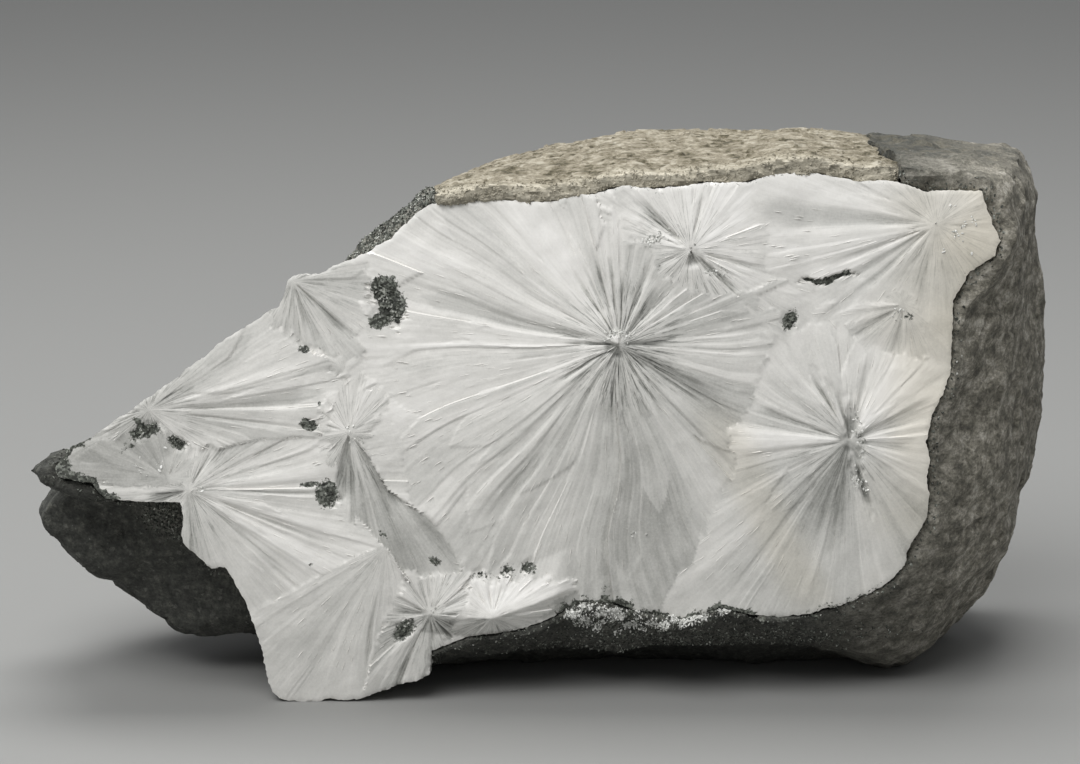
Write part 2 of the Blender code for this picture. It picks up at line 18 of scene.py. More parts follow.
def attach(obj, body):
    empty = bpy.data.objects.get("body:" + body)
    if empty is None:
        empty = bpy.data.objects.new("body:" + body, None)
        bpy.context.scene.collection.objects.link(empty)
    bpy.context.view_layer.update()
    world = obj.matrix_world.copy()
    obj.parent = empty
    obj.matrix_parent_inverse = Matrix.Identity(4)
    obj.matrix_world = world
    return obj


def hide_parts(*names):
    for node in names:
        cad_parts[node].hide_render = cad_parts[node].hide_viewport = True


MM = 0.001
SEED = 7

# The camera: where it looks, how far off it stands, and how far above the level.
LOOK_AT = (-1, -27, 50.9)
CAMERA_DISTANCE = 520
CAMERA_RISE = math.radians(13)
LENS, SENSOR = 115.56, 36
# The light of the room, and half the floor's width in metres.
SKY, SKY_STRENGTH = "#e8eaec", 0.33
FLOOR_HALF = 3

# The vein, as in the part's source.
FACE_Y = -27
DIP = math.tan(math.radians(13))
VEIN_THICKNESS = 9
CONE_SLOPE = 0.07
FACE_MIDDLE_Z, FACE_TOP_Z = 48, 82
BOW_LOW, BOW_HIGH = 1.0, 0.8
FACE_FRONT, WALL_FRONT = -0.6, 0.35  # how far the solid's face looks forward at least, its walls at most

# Each spray: where it starts, its reach, how bright it is, which way its brightest blades point, in degrees,
# how much brighter they are (a painted sheen), how deep its relief is, and how dark the gaps near its start
# are (painted shade).
SPRAYS = {
    "main": (10.7, 56.6, 30.8, 0.59, 130, 0.09, 1, 1),
    "upper": (21.3, 71, 26.7, 0.8, 60, 0.05, 0.75, 0.9),
    "far_right": (57.6, 74.8, 27.8, 0.64, 200, 0.05, 0.4, 0.4),
    "right": (45.4, 41.9, 25.2, 0.61, 60, 0.06, 0.5, 0.5),
    "middle_left": (-30.7, 53.2, 8, 0.62, 90, 0.05, 0.8, 0.3),
    "centre_left": (-29.7, 43.2, 14.3, 0.635, 90, 0.06, 0.9, 0.6),
    "left": (-53.9, 34.2, 26.3, 0.66, 30, 0.05, 0.85, 0.6),
    "left_edge": (-59.6, 46.6, 27.8, 0.54, 20, 0.05, 0.85, 0.6),
    "corner": (-37.8, 66.3, 12, 0.6, 0, 0.05, 0.6, 0.5),
    "lobe": (-24.4, 25.2, 13.8, 0.61, 240, 0.04, 0.3, 0.3),
    "low": (-17.8, 14.6, -1.5, 0.6, 90, 0.08, 1, 0.5),
    # low_bright is brighter than its neighbours, partly as painted light on a fan that faces up.
    "low_bright": (-8.2, 14.1, -0.8, 0.75, 70, 0.1, 1, 0.4),
    "speck": (53.2, 62.7, 18, 0.62, 0, 0.03, 0.3, 0.3),
    "tip": (-57, 36, 5, 0.48, 180, -0.07, 0.2, 0.1),
}
NAMES = list(SPRAYS)
CENTRES = np.array([spray[:3] for spray in SPRAYS.values()])
LOOKS = np.array([spray[3:] for spray in SPRAYS.values()])
# Where a spray reaches further than all round: the direction and half width in degrees, and how much further.
REACH_CHANGES = (
    ("main", 60, 48, 3.5), ("main", 17, 13, 3), ("main", 300, 20, 1), ("far_right", 172, 30, 13),
)
REACH_SOFT = 8  # degrees over which a change fades out
# Sprays that are hemmed in by others: the corners of the ground that each holds.
GROUNDS = {
    "middle_left": ((-32, 54.6), (-30.2, 54), (-30.1, 52.4), (-31.4, 51.8), (-32.5, 52.7)),
    "corner": (
        (-39, 68.2), (-28.7, 71.3), (-26.9, 67.1), (-25.9, 65), (-27, 62.7), (-25.9, 60.4), (-26, 58.4),
        (-31.4, 53.7), (-33.8, 54.9), (-36.2, 56), (-41.3, 59.9), (-43.5, 63.5),
    ),
    "left_edge": (
        (-67, 51.2), (-43.5, 63.5), (-41.3, 59.9), (-36.2, 56), (-31.4, 53.7), (-30.7, 51.7), (-32.1, 47.5),
        (-34.1, 43.5), (-33.4, 42.4), (-40.5, 41.8), (-45, 42.2), (-52.1, 40.2), (-56.7, 43.2),
        (-67.3, 41.9), (-73.4, 37.3), (-79.3, 41.9),
    ),
    "centre_left": (
        (-30.7, 51.7), (-28, 51.5), (-25.8, 50.7), (-24.4, 48.4), (-24.9, 46.1), (-28, 41.5), (-26.8, 39),
        (-24.6, 35.2), (-18.1, 30.1), (-14.9, 25.8), (-13.5, 22.2), (-21.5, 20.6), (-23.5, 24.3),
        (-26.3, 27.3), (-30.9, 31.5), (-32.2, 37.7), (-34.1, 43.5), (-32.1, 47.5),
    ),
    "lobe": (
        (-24.5, 25.4), (-27.2, 24.6), (-36.6, 19.4), (-44.7, 14.9), (-47.5, 10.5), (-47.8, -2), (-29.1, -2),
        (-25.9, 10.2), (-23.5, 16.7), (-21.5, 20.6), (-23.5, 24.3),
    ),
    "low": (
        (-21.5, 20.6), (-18, 21), (-13.5, 22.2), (-12.2, 20.6), (-11.5, 18.3), (-12.3, 15.4), (-15.5, 10.6),
        (-16.7, -2), (-29.1, -2), (-25.9, 10.2), (-23.5, 16.7),
    ),
    "low_bright": (
        (-12.2, 20.6), (-5.7, 20.2), (3.9, 19.5), (5.1, 18.6), (1.9, 17), (-1.9, 13), (-5.7, 10.2),
        (-15.5, 8.6), (-15.5, 10.6), (-12.3, 15.4), (-11.5, 18.3),
    ),
    "tip": (
        (-75, 39), (-67, 43.5), (-62.8, 45.3), (-57.3, 43.8), (-53.4, 39), (-53.8, 35.4), (-60, 34.6),
        (-68, 35.6), (-76, 34),
    ),
}
# A ridge in the face at the low sprays: its crest, its height, how far it runs down below and above, and how
# much painted shade darkens its lower side, which faces down.
RIDGE = ((-19, 14.6), (-13.5, 14.1), (-8.3, 14), (-2.1, 16.1), (4, 18.8))
RIDGE_HEIGHT, RIDGE_BELOW, RIDGE_ABOVE, RIDGE_SHADE = 1.5, 3, 6.5, 0.16

# Laths of one size: how many a turn, their length, their step in height and their tilt as shares of their
# width, the most width that counts, and how much their brightness differs, partly their own tone and partly
# a painted sheen.
LATH_SIZES = (
    (15, 60, 0.028, 0.1, 4.5, 0.065), (40, 34, 0.03, 0.1, 2.4, 0.065), (104, 18, 0.023, 0.065, 1, 0.036),
    (300, 9, 0.022, 0.055, 0.35, 0.018),
)
LATH_GRID = 512  # laths' borders fall on this many even steps of a turn
LATH_POINT = 2  # how far a lath's pointed end reaches, in widths
SWERVE, SWERVE_SIZE = 0.05, 13  # how far blades bend aside, in radians, and how large a bend is
BORDER_JAG = 1.4  # how far blades cross into the next spray
# Sprays of little relief run into one another: below which relief, over how much of their ground, to which
# brightness, and what is left there of their relief and of the listed blades.
SOFT_BELOW, SOFT_BORDER, SOFT_TONE, SOFT_RELIEF, SOFT_PICKED = 0.78, 6, 0.67, 0.4, 0.35
# Open gaps between blades: how many laths a turn and the share of them that is open, how far out the gaps
# start and end, how deep they are, and how much painted shade darkens them.
GAP_LATHS = ((40, 0.30), (104, 0.25))
GAP_START, GAP_END, GAP_DEPTH, GAP_SHADE = 2, 8, 0.45, 0.24

# Blades and gaps listed for each spray: the direction and half width in degrees, from and to which radius
# they run, how much brighter they are, and how much deeper.
# Their brightness is partly own tone and partly painted light: shade on sunk blades, highlight on raised.
PICKED = {
    "main": (
        (232, 85, 0.1, 2.4, -0.3, 0.35), (120, 50, 0.1, 2, 0.2, -0.3), (-5, 22, 8, 40, 0.11, 0),
        (-62, 14, 12, 44, 0.13, 0), (180, 6, 6, 60, 0.03, 0), (180.5, 1, 5, 42, 0.16, -0.1),
        (195, 6, 4, 60, 0.09, 0), (188, 1.2, 6, 20, -0.1, 0.1), (212, 2.6, 2, 12.5, -0.28, 0.3),
        (206, 4, 8, 50, 0.07, 0), (228.6, 2.2, 14, 38, 0.14, -0.3), (221, 3, 8, 30, 0.07, 0),
        (234, 2.6, 22, 38, -0.16, 0.4), (240, 3, 4, 13, -0.12, 0.2), (166.5, 4.5, 5, 42, -0.14, 0.3),
        (156, 6, 4, 55, 0.1, -0.2), (148, 1.2, 4, 20, -0.12, 0.1), (125, 11, 5, 32, 0.09, 0),
        (119, 1.6, 2, 14, -0.32, 0.3), (105, 8, 2, 14, -0.1, 0.1), (103, 1.6, 2, 16, -0.28, 0.2),
        (111, 1.3, 3, 14, -0.24, 0.2), (80, 22, 2, 18, -0.14, 0.1), (94, 1.8, 2, 15, -0.3, 0.3),
        (85, 1.6, 1.5, 12, -0.26, 0.2), (68, 3, 4, 15, -0.14, 0.2), (51, 8, 2, 12.5, -0.26, 0.4),
        (3, 8, 1, 8, -0.26, 0.2), (-3, 1, 5, 25, 0.16, -0.1), (6, 1, 6, 22, 0.14, -0.1),
        (180, 4, 1, 9, -0.26, 0.3), (-27, 6, 4, 20, -0.14, 0.3), (-33, 1.5, 4, 18, -0.22, 0.2),
        (-43, 5, 5, 45, 0.11, -0.3), (-56, 1.6, 3, 14, -0.2, 0.2), (-82, 28, 3, 42, -0.06, 0.1),
        (-94, 1.4, 2, 12, -0.14, 0.2), (-112, 5, 6, 40, 0.06, 0),
    ),
    "upper": (
        (280, 32, 0.2, 3, -0.32, 0.5), (134, 6, 2.5, 12, -0.34, 0.6), (150, 5, 2, 13, 0.16, -0.2),
        (165, 10, 1, 8, 0.1, -0.2), (318, 5, 2, 12, -0.3, 0.4), (344, 4, 2.5, 15, -0.2, 0.3),
        (332, 2, 3, 12, 0.14, -0.2), (30, 10, 3, 16, 0.1, -0.1), (75, 3, 3, 9, -0.12, 0.2),
        (60, 8, 2, 14, 0.1, 0), (205, 4, 2, 8, -0.16, 0.2), (5, 14, 3, 30, -0.05, 0),
    ),
    "far_right": (
        (188, 10, 4, 36, 0.11, -0.2), (216, 10, 2, 26, -0.16, 0.3), (173, 7, 3, 30, -0.17, 0.1),
        (162, 6, 6, 42, 0.1, 0), (200, 3, 2, 18, -0.1, 0.2), (206, 2, 3, 18, 0.1, 0),
        (250, 20, 4, 20, -0.13, 0.2), (215, 3, 3, 20, 0.14, 0),
    ),
    "right": (
        (80, 28, 0.3, 5, -0.14, 0.5), (117, 2.2, 5, 13, -0.3, 0.5), (111, 1.8, 5, 13, 0.16, -0.3),
        (124, 2, 4, 13, 0.12, -0.2), (103, 3, 3.5, 7.5, -0.24, 0.4), (290, 4, 4.5, 11.5, -0.26, 0.4),
        (181, 11, 2, 27, 0.38, -0.3), (161, 4, 3, 18, -0.16, 0.3), (145, 6, 4, 20, -0.04, 0.1),
        (244, 44, 1, 19, -0.13, 0.1), (262, 14, 1, 17, -0.07, 0.1), (222, 4, 4, 34, 0.08, -0.1),
        (208, 3, 3, 30, 0.07, 0), (234, 2, 5, 30, -0.08, 0.1), (53, 18, 3, 28, 0.36, -0.2),
        (0, 60, 3, 18, 0.15, 0), (310, 25, 12, 40, -0.07, 0), (76, 4, 3, 16, -0.08, 0.2),
        (23, 10, 1.5, 15, -0.2, 0.4), (5, 1.6, 2, 12, 0.18, -0.1), (-7, 8, 1.5, 11, -0.18, 0.2),
        (-21, 2, 2, 12, 0.2, -0.1), (-36, 7, 3, 10, -0.12, 0.2), (300, 8, 7, 22, 0.05, 0),
        (318, 12, 9, 20, -0.08, 0.1),
    ),
    "speck": (
        (179, 9, 1, 14, 0.3, -0.3), (196, 6, 6, 24, 0.26, -0.3), (211, 9, 2, 18, -0.2, 0.3),
        (240, 9, 2, 12, 0.16, 0), (150, 10, 2, 12, -0.12, 0.2), (262, 8, 1, 9, -0.16, 0.2),
    ),
    "centre_left": (
        (262, 14, 0.8, 12, -0.24, 0.5), (300, 7, 3, 15, -0.22, 0.3), (309, 4, 0.5, 12, 0.2, -0.3),
        (295, 30, 10, 30, -0.16, 0.2), (160, 45, 0.5, 3.6, 0.1, 0), (62, 20, 2, 9, 0.06, 0),
    ),
    "left": (
        (45, 40, 6, 20, -0.12, 0.2), (195, 12, 0.8, 7, -0.34, 0.2), (8, 5, 6, 26, 0.1, -0.2),
        (358, 1.5, 8, 24, -0.18, 0.2), (345, 5, 5, 30, 0.12, -0.2), (338, 1.5, 6, 24, -0.2, 0.2),
        (328, 6, 4, 30, 0.1, -0.2), (318, 1.6, 5, 22, -0.16, 0.2), (270, 25, 2, 14, -0.08, 0),
    ),
    "left_edge": (
        (352, 2, 6, 24, -0.12, 0.2), (12, 8, 5, 30, 0.1, -0.2), (2, 3, 6, 26, -0.1, 0.1),
        (322, 10, 3, 12, 0.1, 0),
    ),
    "corner": (
        (315, 4, 1, 14, -0.2, 0.3), (285, 5, 1, 9, -0.14, 0.2), (300, 6, 1, 12, 0.1, 0),
        (0, 18, 2, 14, -0.06, 0),
    ),
    "lobe": (
        (250, 45, 2, 30, -0.05, 0), (262, 2, 10, 28, -0.12, 0.2), (302, 6, 0.5, 12, 0.24, -0.4),
        (245, 2, 8, 26, 0.1, 0),
    ),
    "low": (
        (140, 12, 1, 8, 0.14, -0.2), (178, 14, 1, 6, -0.14, 0.2), (232, 8, 4, 18, 0.12, -0.2),
        (245, 3, 2, 16, -0.14, 0.2), (90, 30, 2, 8, 0.04, 0),
    ),
    "low_bright": (
        (90, 60, 0.5, 10, 0.12, -0.1), (72, 2, 1, 6, -0.2, 0.2), (115, 2, 2, 6, -0.12, 0.1),
    ),
}

# Dark chips in the face: place, length, width and tilt, as in the part's source, and the share that shows.
CHIPS = {
    "basalt_chip_corner": (-24, 62.9, 7.6, 3.4, -58, 0.95),
    "basalt_chip_left_tip": (-60.4, 43.5, 4.8, 2.4, 25, 0.8),
    "basalt_chip_left_small": (-55.5, 41.5, 2.8, 1.8, -30, 0.85),
    "basalt_chip_left_middle": (-33, 33.4, 4.6, 2.6, -48, 0.85),
    "basalt_chip_left_upper": (-35.8, 44.2, 2.6, 1.8, 0, 0.8),
    "basalt_chip_low_left": (-21.7, 12.1, 4, 2.4, 50, 0.85),
    "basalt_chip_low_1": (-10.1, 20.9, 3.2, 2, 10, 0.7),
    "basalt_chip_low_2": (-6.4, 21.6, 2.8, 1.8, 70, 0.6),
    "basalt_chip_low_3": (-2.8, 22.2, 2.6, 2.2, 40, 0.7),
    "basalt_chip_right": (36.3, 60.4, 3.4, 2.2, 60, 0.8),
}
CHIP_PIT = 0.5  # how deep the pit round a chip is
CHIP_SUNK, CHIP_HIDDEN = 0.2, 1.4  # how far a chip's surface is sunk, and how much more if none of it shows
# Grooves broken along the middle of two sprays: place, length, width, tilt and share of the full depth.
GROOVES = (
    (42.6, 49.8, 7.5, 1.5, -52, 0.55), (46.2, 41.6, 12, 3, -82, 1), (47.8, 34, 7, 1.4, -68, 0.6),
    (23, 69, 6, 1.6, -48, 0.6),
)
GROOVE_DEPTH = 0.5
GROOVE_SHADE, GROOVE_MOTTLE = 0.17, 0.14  # how much painted shade darkens a groove, and how uneven that is
# An open crack: place, length, width and tilt. It is sunk and darkened with painted shade.
CRACK = (41.9, 66.7, 8.6, 0.8, 10)
CRACK_DEPTH, CRACK_SHADE = 0.8, 0.3
# Dark grit ground into the face, round the chips: place, length, width, tilt and how thick.
GRIT = (
    (-24.2, 65.6, 4.4, 3.6, 10, 1), (-22.8, 62.6, 3.8, 5.2, 0, 1), (-25, 60.2, 3.6, 2.6, 20, 1),
    (-73.2, 37.8, 3.4, 3.4, 30, 1), (-60.2, 43.3, 5.6, 2.2, 12, 0.9), (-61, 44.6, 3, 1.2, -40, 0.8),
    (-55.5, 41.5, 3.2, 2, -30, 0.9), (-62.5, 41.2, 5, 2, 35, 0.5), (-33.2, 33.6, 3.6, 4.6, 0, 1),
    (-35.8, 35, 3.4, 1, 5, 0.8), (-35.8, 44.3, 3.2, 2, -20, 0.95), (-36.3, 56, 1.8, 1.4, 0, 0.9),
    (-21.7, 12.1, 4.6, 2.8, 50, 0.9), (-10.1, 20.7, 4.2, 1.8, 8, 0.5), (-6, 21.4, 3.2, 2.8, 60, 0.6),
    (-2.7, 21.9, 2.6, 3.4, 80, 0.66), (36.3, 60.4, 3.8, 2.2, 60, 0.9), (-17, 23, 2.4, 1.8, -30, 0.7),
    (-35.8, 22.6, 1, 0.6, 0, 0.8), (-34, 47.6, 1, 0.8, 0, 0.6), (54, 61, 2, 1.6, 0, 0.55),
    (-24.9, 27.3, 2.6, 1, -40, 0.6), (9, 18.4, 2.6, 1.6, 70, 0.5), (-6, 20.6, 9, 1.2, 8, 0.4),
)
# Grit that follows the rim, within a millimetre or two of it.
RIM_GRIT = (
    (7.5, 16.5, 16, 6, 0, 1), (19, 14, 12, 6, -8, 0.9), (28.5, 16, 10, 7, 20, 1), (46, 16, 22, 10, 12, 0.5),
    (-69, 35.5, 12, 6, -35, 1), (15, 82, 90, 10, 0, 0.38), (-72.5, 41, 10, 5, 40, 1),
    (62, 50, 10, 60, 0, 0.3), (-8, 9.5, 14, 5, 10, 0.35),
)
RIM_GRIT_REACH = 1.5
# White crumbs crushed out of the face, at the starts of the sprays.
CRUMBS = (
    (10.6, 57.7, 3.8, 2.2, 10, 1), (46.6, 43.2, 7, 1.6, -78, 0.7), (47.4, 35.6, 3.4, 2.4, -60, 1),
    (16.6, 73.4, 5.4, 2.4, 15, 0.9), (21.8, 70.6, 3, 2.6, 0, 0.8), (-17.6, 14.9, 1.6, 1.4, 0, 0.7),
    (-52.6, 34, 2.4, 1.8, -20, 0.5), (61, 73.5, 7, 6, 0, 0.35), (23.6, 68.8, 6, 2.2, -35, 0.5),
    (-24.2, 25, 2.2, 1.2, -40, 0.6), (-29.6, 43.2, 1.6, 2.4, 0, 0.6), (-59.5, 38.6, 5, 3.6, 30, 0.35),
    (53, 61.6, 3, 3, 0, 0.4), (14, 27, 3, 2, 0, 0.2),
)
# Grains where the vein meets the rock: white ones crushed over the rock, dark ones in the rock's hollows.
SPILLED = ((9.5, 14.2, 13, 5, -8, 1), (26.5, 15.6, 12, 3.4, 16, 0.95), (18, 13.4, 8, 2.6, 0, 0.8))
# Hollows paint the rock paler and granular; the last, under the vein, partly as painted light in its shade.
HOLLOW = (
    (-57.6, 30.6, 9, 7, -20, 1), (-66, 35.6, 14, 2.6, -20, 0.5), (-22, 75, 26, 7, 40, 0.85),
    (20, 10, 50, 5, 2, 0.3),
)
# The rock's thin rim over the vein at the upper left: both ends of the vein's edge there, how far the rock is
# worn back from it, over which stretch at each end that fades out, and how far behind the face.
THIN_RIM = ((-30.5, 68.2), (-17.5, 78))
THIN_RIM_WORN, THIN_RIM_ENDS, THIN_RIM_BACK = 2.1, 4, 24
GRAINS_BACK = 12  # how far behind the face grains lie on the rock
RIM_MARK = 0.14  # how thickly they lie along the vein's rim

# Spacing of the points over the vein, and the unevenness of its edge, walls and back.
ACROSS_LATHS, ALONG_LATHS = 0.27, 0.5
FIRST_RING, FURTHEST = 0.3, 90  # the last is longer than any blade
EDGE_STEP, EDGE_JAG = 0.35, 0.28
EDGE_OUT = 0.25  # hides the gap round the solid
EDGE_CLEAR = 0.28  # the face's points keep this far from the edge
EDGE_BACK = 0.1  # the edge itself is chipped back by this
WALL_SHARES = (0.05, 0.14, 0.28, 0.45, 0.7, 1.0)  # where the walls' rows of points lie, from edge to back
WALL_JAG = 0.25
WALL_TONE, WALL_SWING = 0.45, 0.14
BACK_STEP, BACK_CLEAR, BACK_JAG = 1.6, 0.8, 0.25

scene = bpy.context.scene
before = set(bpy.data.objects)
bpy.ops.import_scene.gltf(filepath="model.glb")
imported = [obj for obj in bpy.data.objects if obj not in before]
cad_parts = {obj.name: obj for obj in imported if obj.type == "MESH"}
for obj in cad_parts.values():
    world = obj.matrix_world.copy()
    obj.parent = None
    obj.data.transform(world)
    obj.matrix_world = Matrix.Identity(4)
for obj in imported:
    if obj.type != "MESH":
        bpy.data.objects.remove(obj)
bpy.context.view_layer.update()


# --- nodes ---

# The kinds of node used over and over.
MATH, VECTOR_MATH, RANGE = "ShaderNodeMath", "ShaderNodeVectorMath", "ShaderNodeMapRange"
MIX, RAMP, BUMP = "ShaderNodeMix", "ShaderNodeValToRGB", "ShaderNodeBump"
NOISE, CELLS = "ShaderNodeTexNoise", "ShaderNodeTexVoronoi"
MARK, SPLIT, PICK = "ShaderNodeAttribute", "ShaderNodeSeparateXYZ", "FunctionNodeRandomValue"
STORED, MOVE = "GeometryNodeInputNamedAttribute", "GeometryNodeSetPosition"


def fill(node, inputs):
    """Fills inputs, in order or by name, each with a value, an output, or a node's first output in use."""
    for socket, value in inputs.items() if isinstance(inputs, dict) else enumerate(inputs):
        if isinstance(value, bpy.types.Node):
            value = next(output for output in value.outputs if output.enabled)
        if isinstance(value, bpy.types.NodeSocket):
            node.id_data.links.new(value, node.inputs[socket])
        else:
            node.inputs[socket].default_value = value


def colour(code):
    """An sRGB hex colour as linear red, green, blue and full cover."""
    parts = [int(code[i : i + 2], 16) / 255 for i in (1, 3, 5)]
    return (*(p / 12.92 if p <= 0.04045 else ((p + 0.055) / 1.055) ** 2.4 for p in parts), 1.0)


def add_node(tree, kind, inputs=(), stops=(), **settings):
    """Adds a node with its settings and inputs. A colour ramp's stops are a place and a hex colour each."""
    node = tree.nodes.new(kind)
    for name, value in settings.items():
        setattr(node, name, value)
    fill(node, inputs)
    if stops:
        line = node.color_ramp.elements
        while len(line) < len(stops):
            line.new(0.5)
        for element, (place, code) in zip(line, stops):
            element.position, element.color = place, colour(code)
    return node


def start_material(name):
    """A new material, the function that adds its nodes, and its shader."""
    finish = bpy.data.materials.new(name)
    finish.use_nodes = True
    return finish, partial(add_node, finish.node_tree), finish.node_tree.nodes["Principled BSDF"]


def start_tree(name, sockets):
    """A geometry tree, the function that adds its nodes, and its inputs: a first value or a type for each."""
    tree = bpy.data.node_groups.new(name, "GeometryNodeTree")
    for side in ("INPUT", "OUTPUT"):
        tree.interface.new_socket("Geometry", in_out=side, socket_type="NodeSocketGeometry")
    kinds = {tuple: "Vector", float: "Float", int: "Int", str: "String"}
    for label, value in (sockets | {"Material": bpy.types.Material}).items():
        kind = kinds.get(type(value)) or value.__name__
        socket = tree.interface.new_socket(label, in_out="INPUT", socket_type="NodeSocket" + kind)
        if type(value) in kinds:
            socket.default_value = value
    return tree, partial(add_node, tree), add_node(tree, "NodeGroupInput").outputs


def end_tree(add, given, geometry):
    """Gives the tree's result its material and hands it out."""
    finished = add("GeometryNodeSetMaterial", {0: geometry, "Material": given["Material"]})
    add("NodeGroupOutput", [finished])


def add_piece(name, data):
    """An object in the scene for a mesh, a camera or a light."""
    piece = bpy.data.objects.new(name, data)
    scene.collection.objects.link(piece)
    return piece


def grow(name, base, tree, values, voxel=None):
    """Runs a geometry tree on a base mesh and keeps the result as a plain mesh object.

    The voxel size, if there is one, first turns the base into an even mesh.
    """
    piece = add_piece(name, base)
    if voxel:
        remesh = piece.modifiers.new("even mesh", "REMESH")
        remesh.mode = "VOXEL"
        remesh.voxel_size = voxel
    modifier = piece.modifiers.new(tree.name, "NODES")
    modifier.node_group = tree
    for socket in tree.interface.items_tree:
        if socket.in_out == "INPUT" and socket.name in values:
            modifier[socket.identifier] = values[socket.name]
    bpy.context.view_layer.update()
    grown = piece.evaluated_get(bpy.context.evaluated_depsgraph_get())
    mesh = bpy.data.meshes.new_from_object(grown)
    piece.modifiers.clear()
    piece.data = mesh
    mesh.name = name
    return piece


def copy_of_node(node):
    """A merged copy of one of the frame's meshes."""
    shape = bmesh.new()
    shape.from_mesh(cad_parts[node].data)
    bmesh.ops.remove_doubles(shape, verts=shape.verts, dist=1e-6)
    mesh = bpy.data.meshes.new(node)
    shape.to_mesh(mesh)
    shape.free()
    return mesh


def positions(mesh):
    """The places of a mesh's points, one row for each."""
    flat = np.empty(len(mesh.vertices) * 3)
    mesh.vertices.foreach_get("co", flat)
    return flat.reshape(-1, 3)


def give(mesh, name, values, kind="FLOAT"):
    """Stores one number or vector for each point of a mesh."""
    key = "value" if kind == "FLOAT" else "vector"
    mesh.attributes.new(name, kind, "POINT").data.foreach_set(key, np.ravel(values).astype(np.float32))


def soften(mesh, degrees):
    """Shades a mesh smooth, but for edges that turn more than this."""
    mesh.shade_smooth()
    mesh.set_sharp_from_angle(angle=math.radians(degrees))


# --- chance ---


def chance(*keys):
    """A fixed random number from 0 to 1 for each set of whole numbers."""
    mixed = SEED + sum(key * factor for key, factor in zip(keys, (12.9898, 78.233, 37.719, 151.718)))
    return np.modf(np.abs(np.sin(mixed)) * 43758.5453)[0]


def drift(x, y, seed):
    """A smooth random number from -1 to 1, which changes over one step of x or y."""
    left, low = np.floor(x), np.floor(y)
    across, up = x - left, y - low
    across, up = across**2 * (3 - 2 * across), up**2 * (3 - 2 * up)
    bottom, top = (
        chance(left, level, seed) * (1 - across) + chance(left + 1, level, seed) * across
        for level in (low, low + 1)
    )
    return 2 * (bottom * (1 - up) + top * up) - 1


def fade(value, start, end):
    """0 up to the start, 1 past the end, and a smooth step between them."""
    share = np.clip((value - start) / (end - start), 0, 1)
    return share**2 * (3 - 2 * share)


# --- the vein's face ---


def around_sprays(x, z):
    """Turn and radius of each point around every spray's start, one row for each spray."""
    run_x, run_z = x - CENTRES[:, :1], z - CENTRES[:, 1:2]
    turn = np.arctan2(run_z, run_x) + SWERVE * drift(x / SWERVE_SIZE, z / SWERVE_SIZE, 3)
    return turn % math.tau, np.hypot(run_x, run_z)


def near_direction(turn, direction, half, soft):
    """1 within this many degrees of a direction, fading to 0 over its soft edge."""
    aside = np.degrees(np.abs((turn - math.radians(direction) + math.pi) % math.tau - math.pi))
    return 1 - fade(aside, half - soft, half)


def lath_border(index, count, spray):
    """Place of a lath's border, in laths: uneven, and on the even grid of the turn."""
    wobble = 0.8 * (chance(index % count, count, spray) - 0.5)
    return np.round((index + wobble) * LATH_GRID / count) * count / LATH_GRID


def lath_of(turn, count, spray):
    """Number of the lath that holds each turn, and the share of the way across it."""
    place = turn / math.tau * count
    index = np.floor(place)
    index -= place < lath_border(index, count, spray)
    index += place >= lath_border(index + 1, count, spray)
    near, far = lath_border(index, count, spray), lath_border(index + 1, count, spray)
    return index % count, np.clip((place - near) / np.maximum(far - near, 1e-6), 0, 1)


def inside(ring, x, z):
    """Whether each point lies inside a closed outline."""
    crossings = np.zeros(len(x), int)
    for (x0, z0), (x1, z1) in zip(ring, np.roll(ring, -1, axis=0)):
        if z0 != z1:
            crossings += ((z0 > z) != (z1 > z)) & (x < x0 + (z - z0) / (z1 - z0) * (x1 - x0))
    return crossings % 2 == 1


def away_from(ring, x, z):
    """How far each point lies from the nearest of an outline's points."""
    nearest = np.full(len(x), np.inf)
    for ring_x, ring_z in ring:
        nearest = np.minimum(nearest, (x - ring_x) ** 2 + (z - ring_z) ** 2)
    return np.sqrt(nearest)


def holder(x, z):
    """The spray that holds each point, the turn and radius there, and by how many millimetres it holds it.

    Blades cross the borders a little.
    """
    turn, radius = around_sprays(x, z)
    rows = np.arange(len(SPRAYS))[:, None]
    tip = 2 * BORDER_JAG * (chance(lath_of(turn, 60, rows)[0], rows, 11) - 0.5)
    held = CENTRES[:, 2:] - radius + tip * fade(radius, 2, 8)
    for name, direction, half, change in REACH_CHANGES:
        row = NAMES.index(name)
        held[row] += change * near_direction(turn[row], direction, half, REACH_SOFT) * fade(radius[row], 0, 3)
    for name, corners in GROUNDS.items():
        row = NAMES.index(name)
        back = tip[row] * fade(radius[row], 1, 4)
        own = inside(np.array(corners), x - back * np.cos(turn[row]), z - back * np.sin(turn[row]))
        held[row] = np.where(own, 99, -99)
    spray = held.argmax(0)
    points = np.arange(len(x))
    second, best = np.partition(held, -2, axis=0)[-2:]
    return spray, turn[spray, points], radius[spray, points], best - second


def oval_share(place, x, z, grow_by=0):
    """How far out each point lies in an oval, from 0 in its middle to 1 on its edge."""
    middle_x, middle_z, length, width, tilt = place[:5]
    turn = math.radians(tilt)
    along = (x - middle_x) * math.cos(turn) + (z - middle_z) * math.sin(turn)
    across = (z - middle_z) * math.cos(turn) - (x - middle_x) * math.sin(turn)
    return np.hypot(along / (length / 2 + grow_by), across / (width / 2 + grow_by))


def marked(places, x, z, uneven=0, start=0.3, end=1.6):
    """How strongly a set of oval places marks each point, fading out between these shares of an oval."""
    marks = [place[5] * (1 - fade(oval_share(place, x, z) + uneven, start, end)) for place in places]
    return np.max(marks, axis=0)


def clumps(x, z):
    """Uneven shares from 0 to 1, in clumps about a millimetre across."""
    return fade(drift(x / 1.1, z / 1.1, 61) + 0.5 * drift(x * 2, z * 2, 62), -0.2, 0.7)


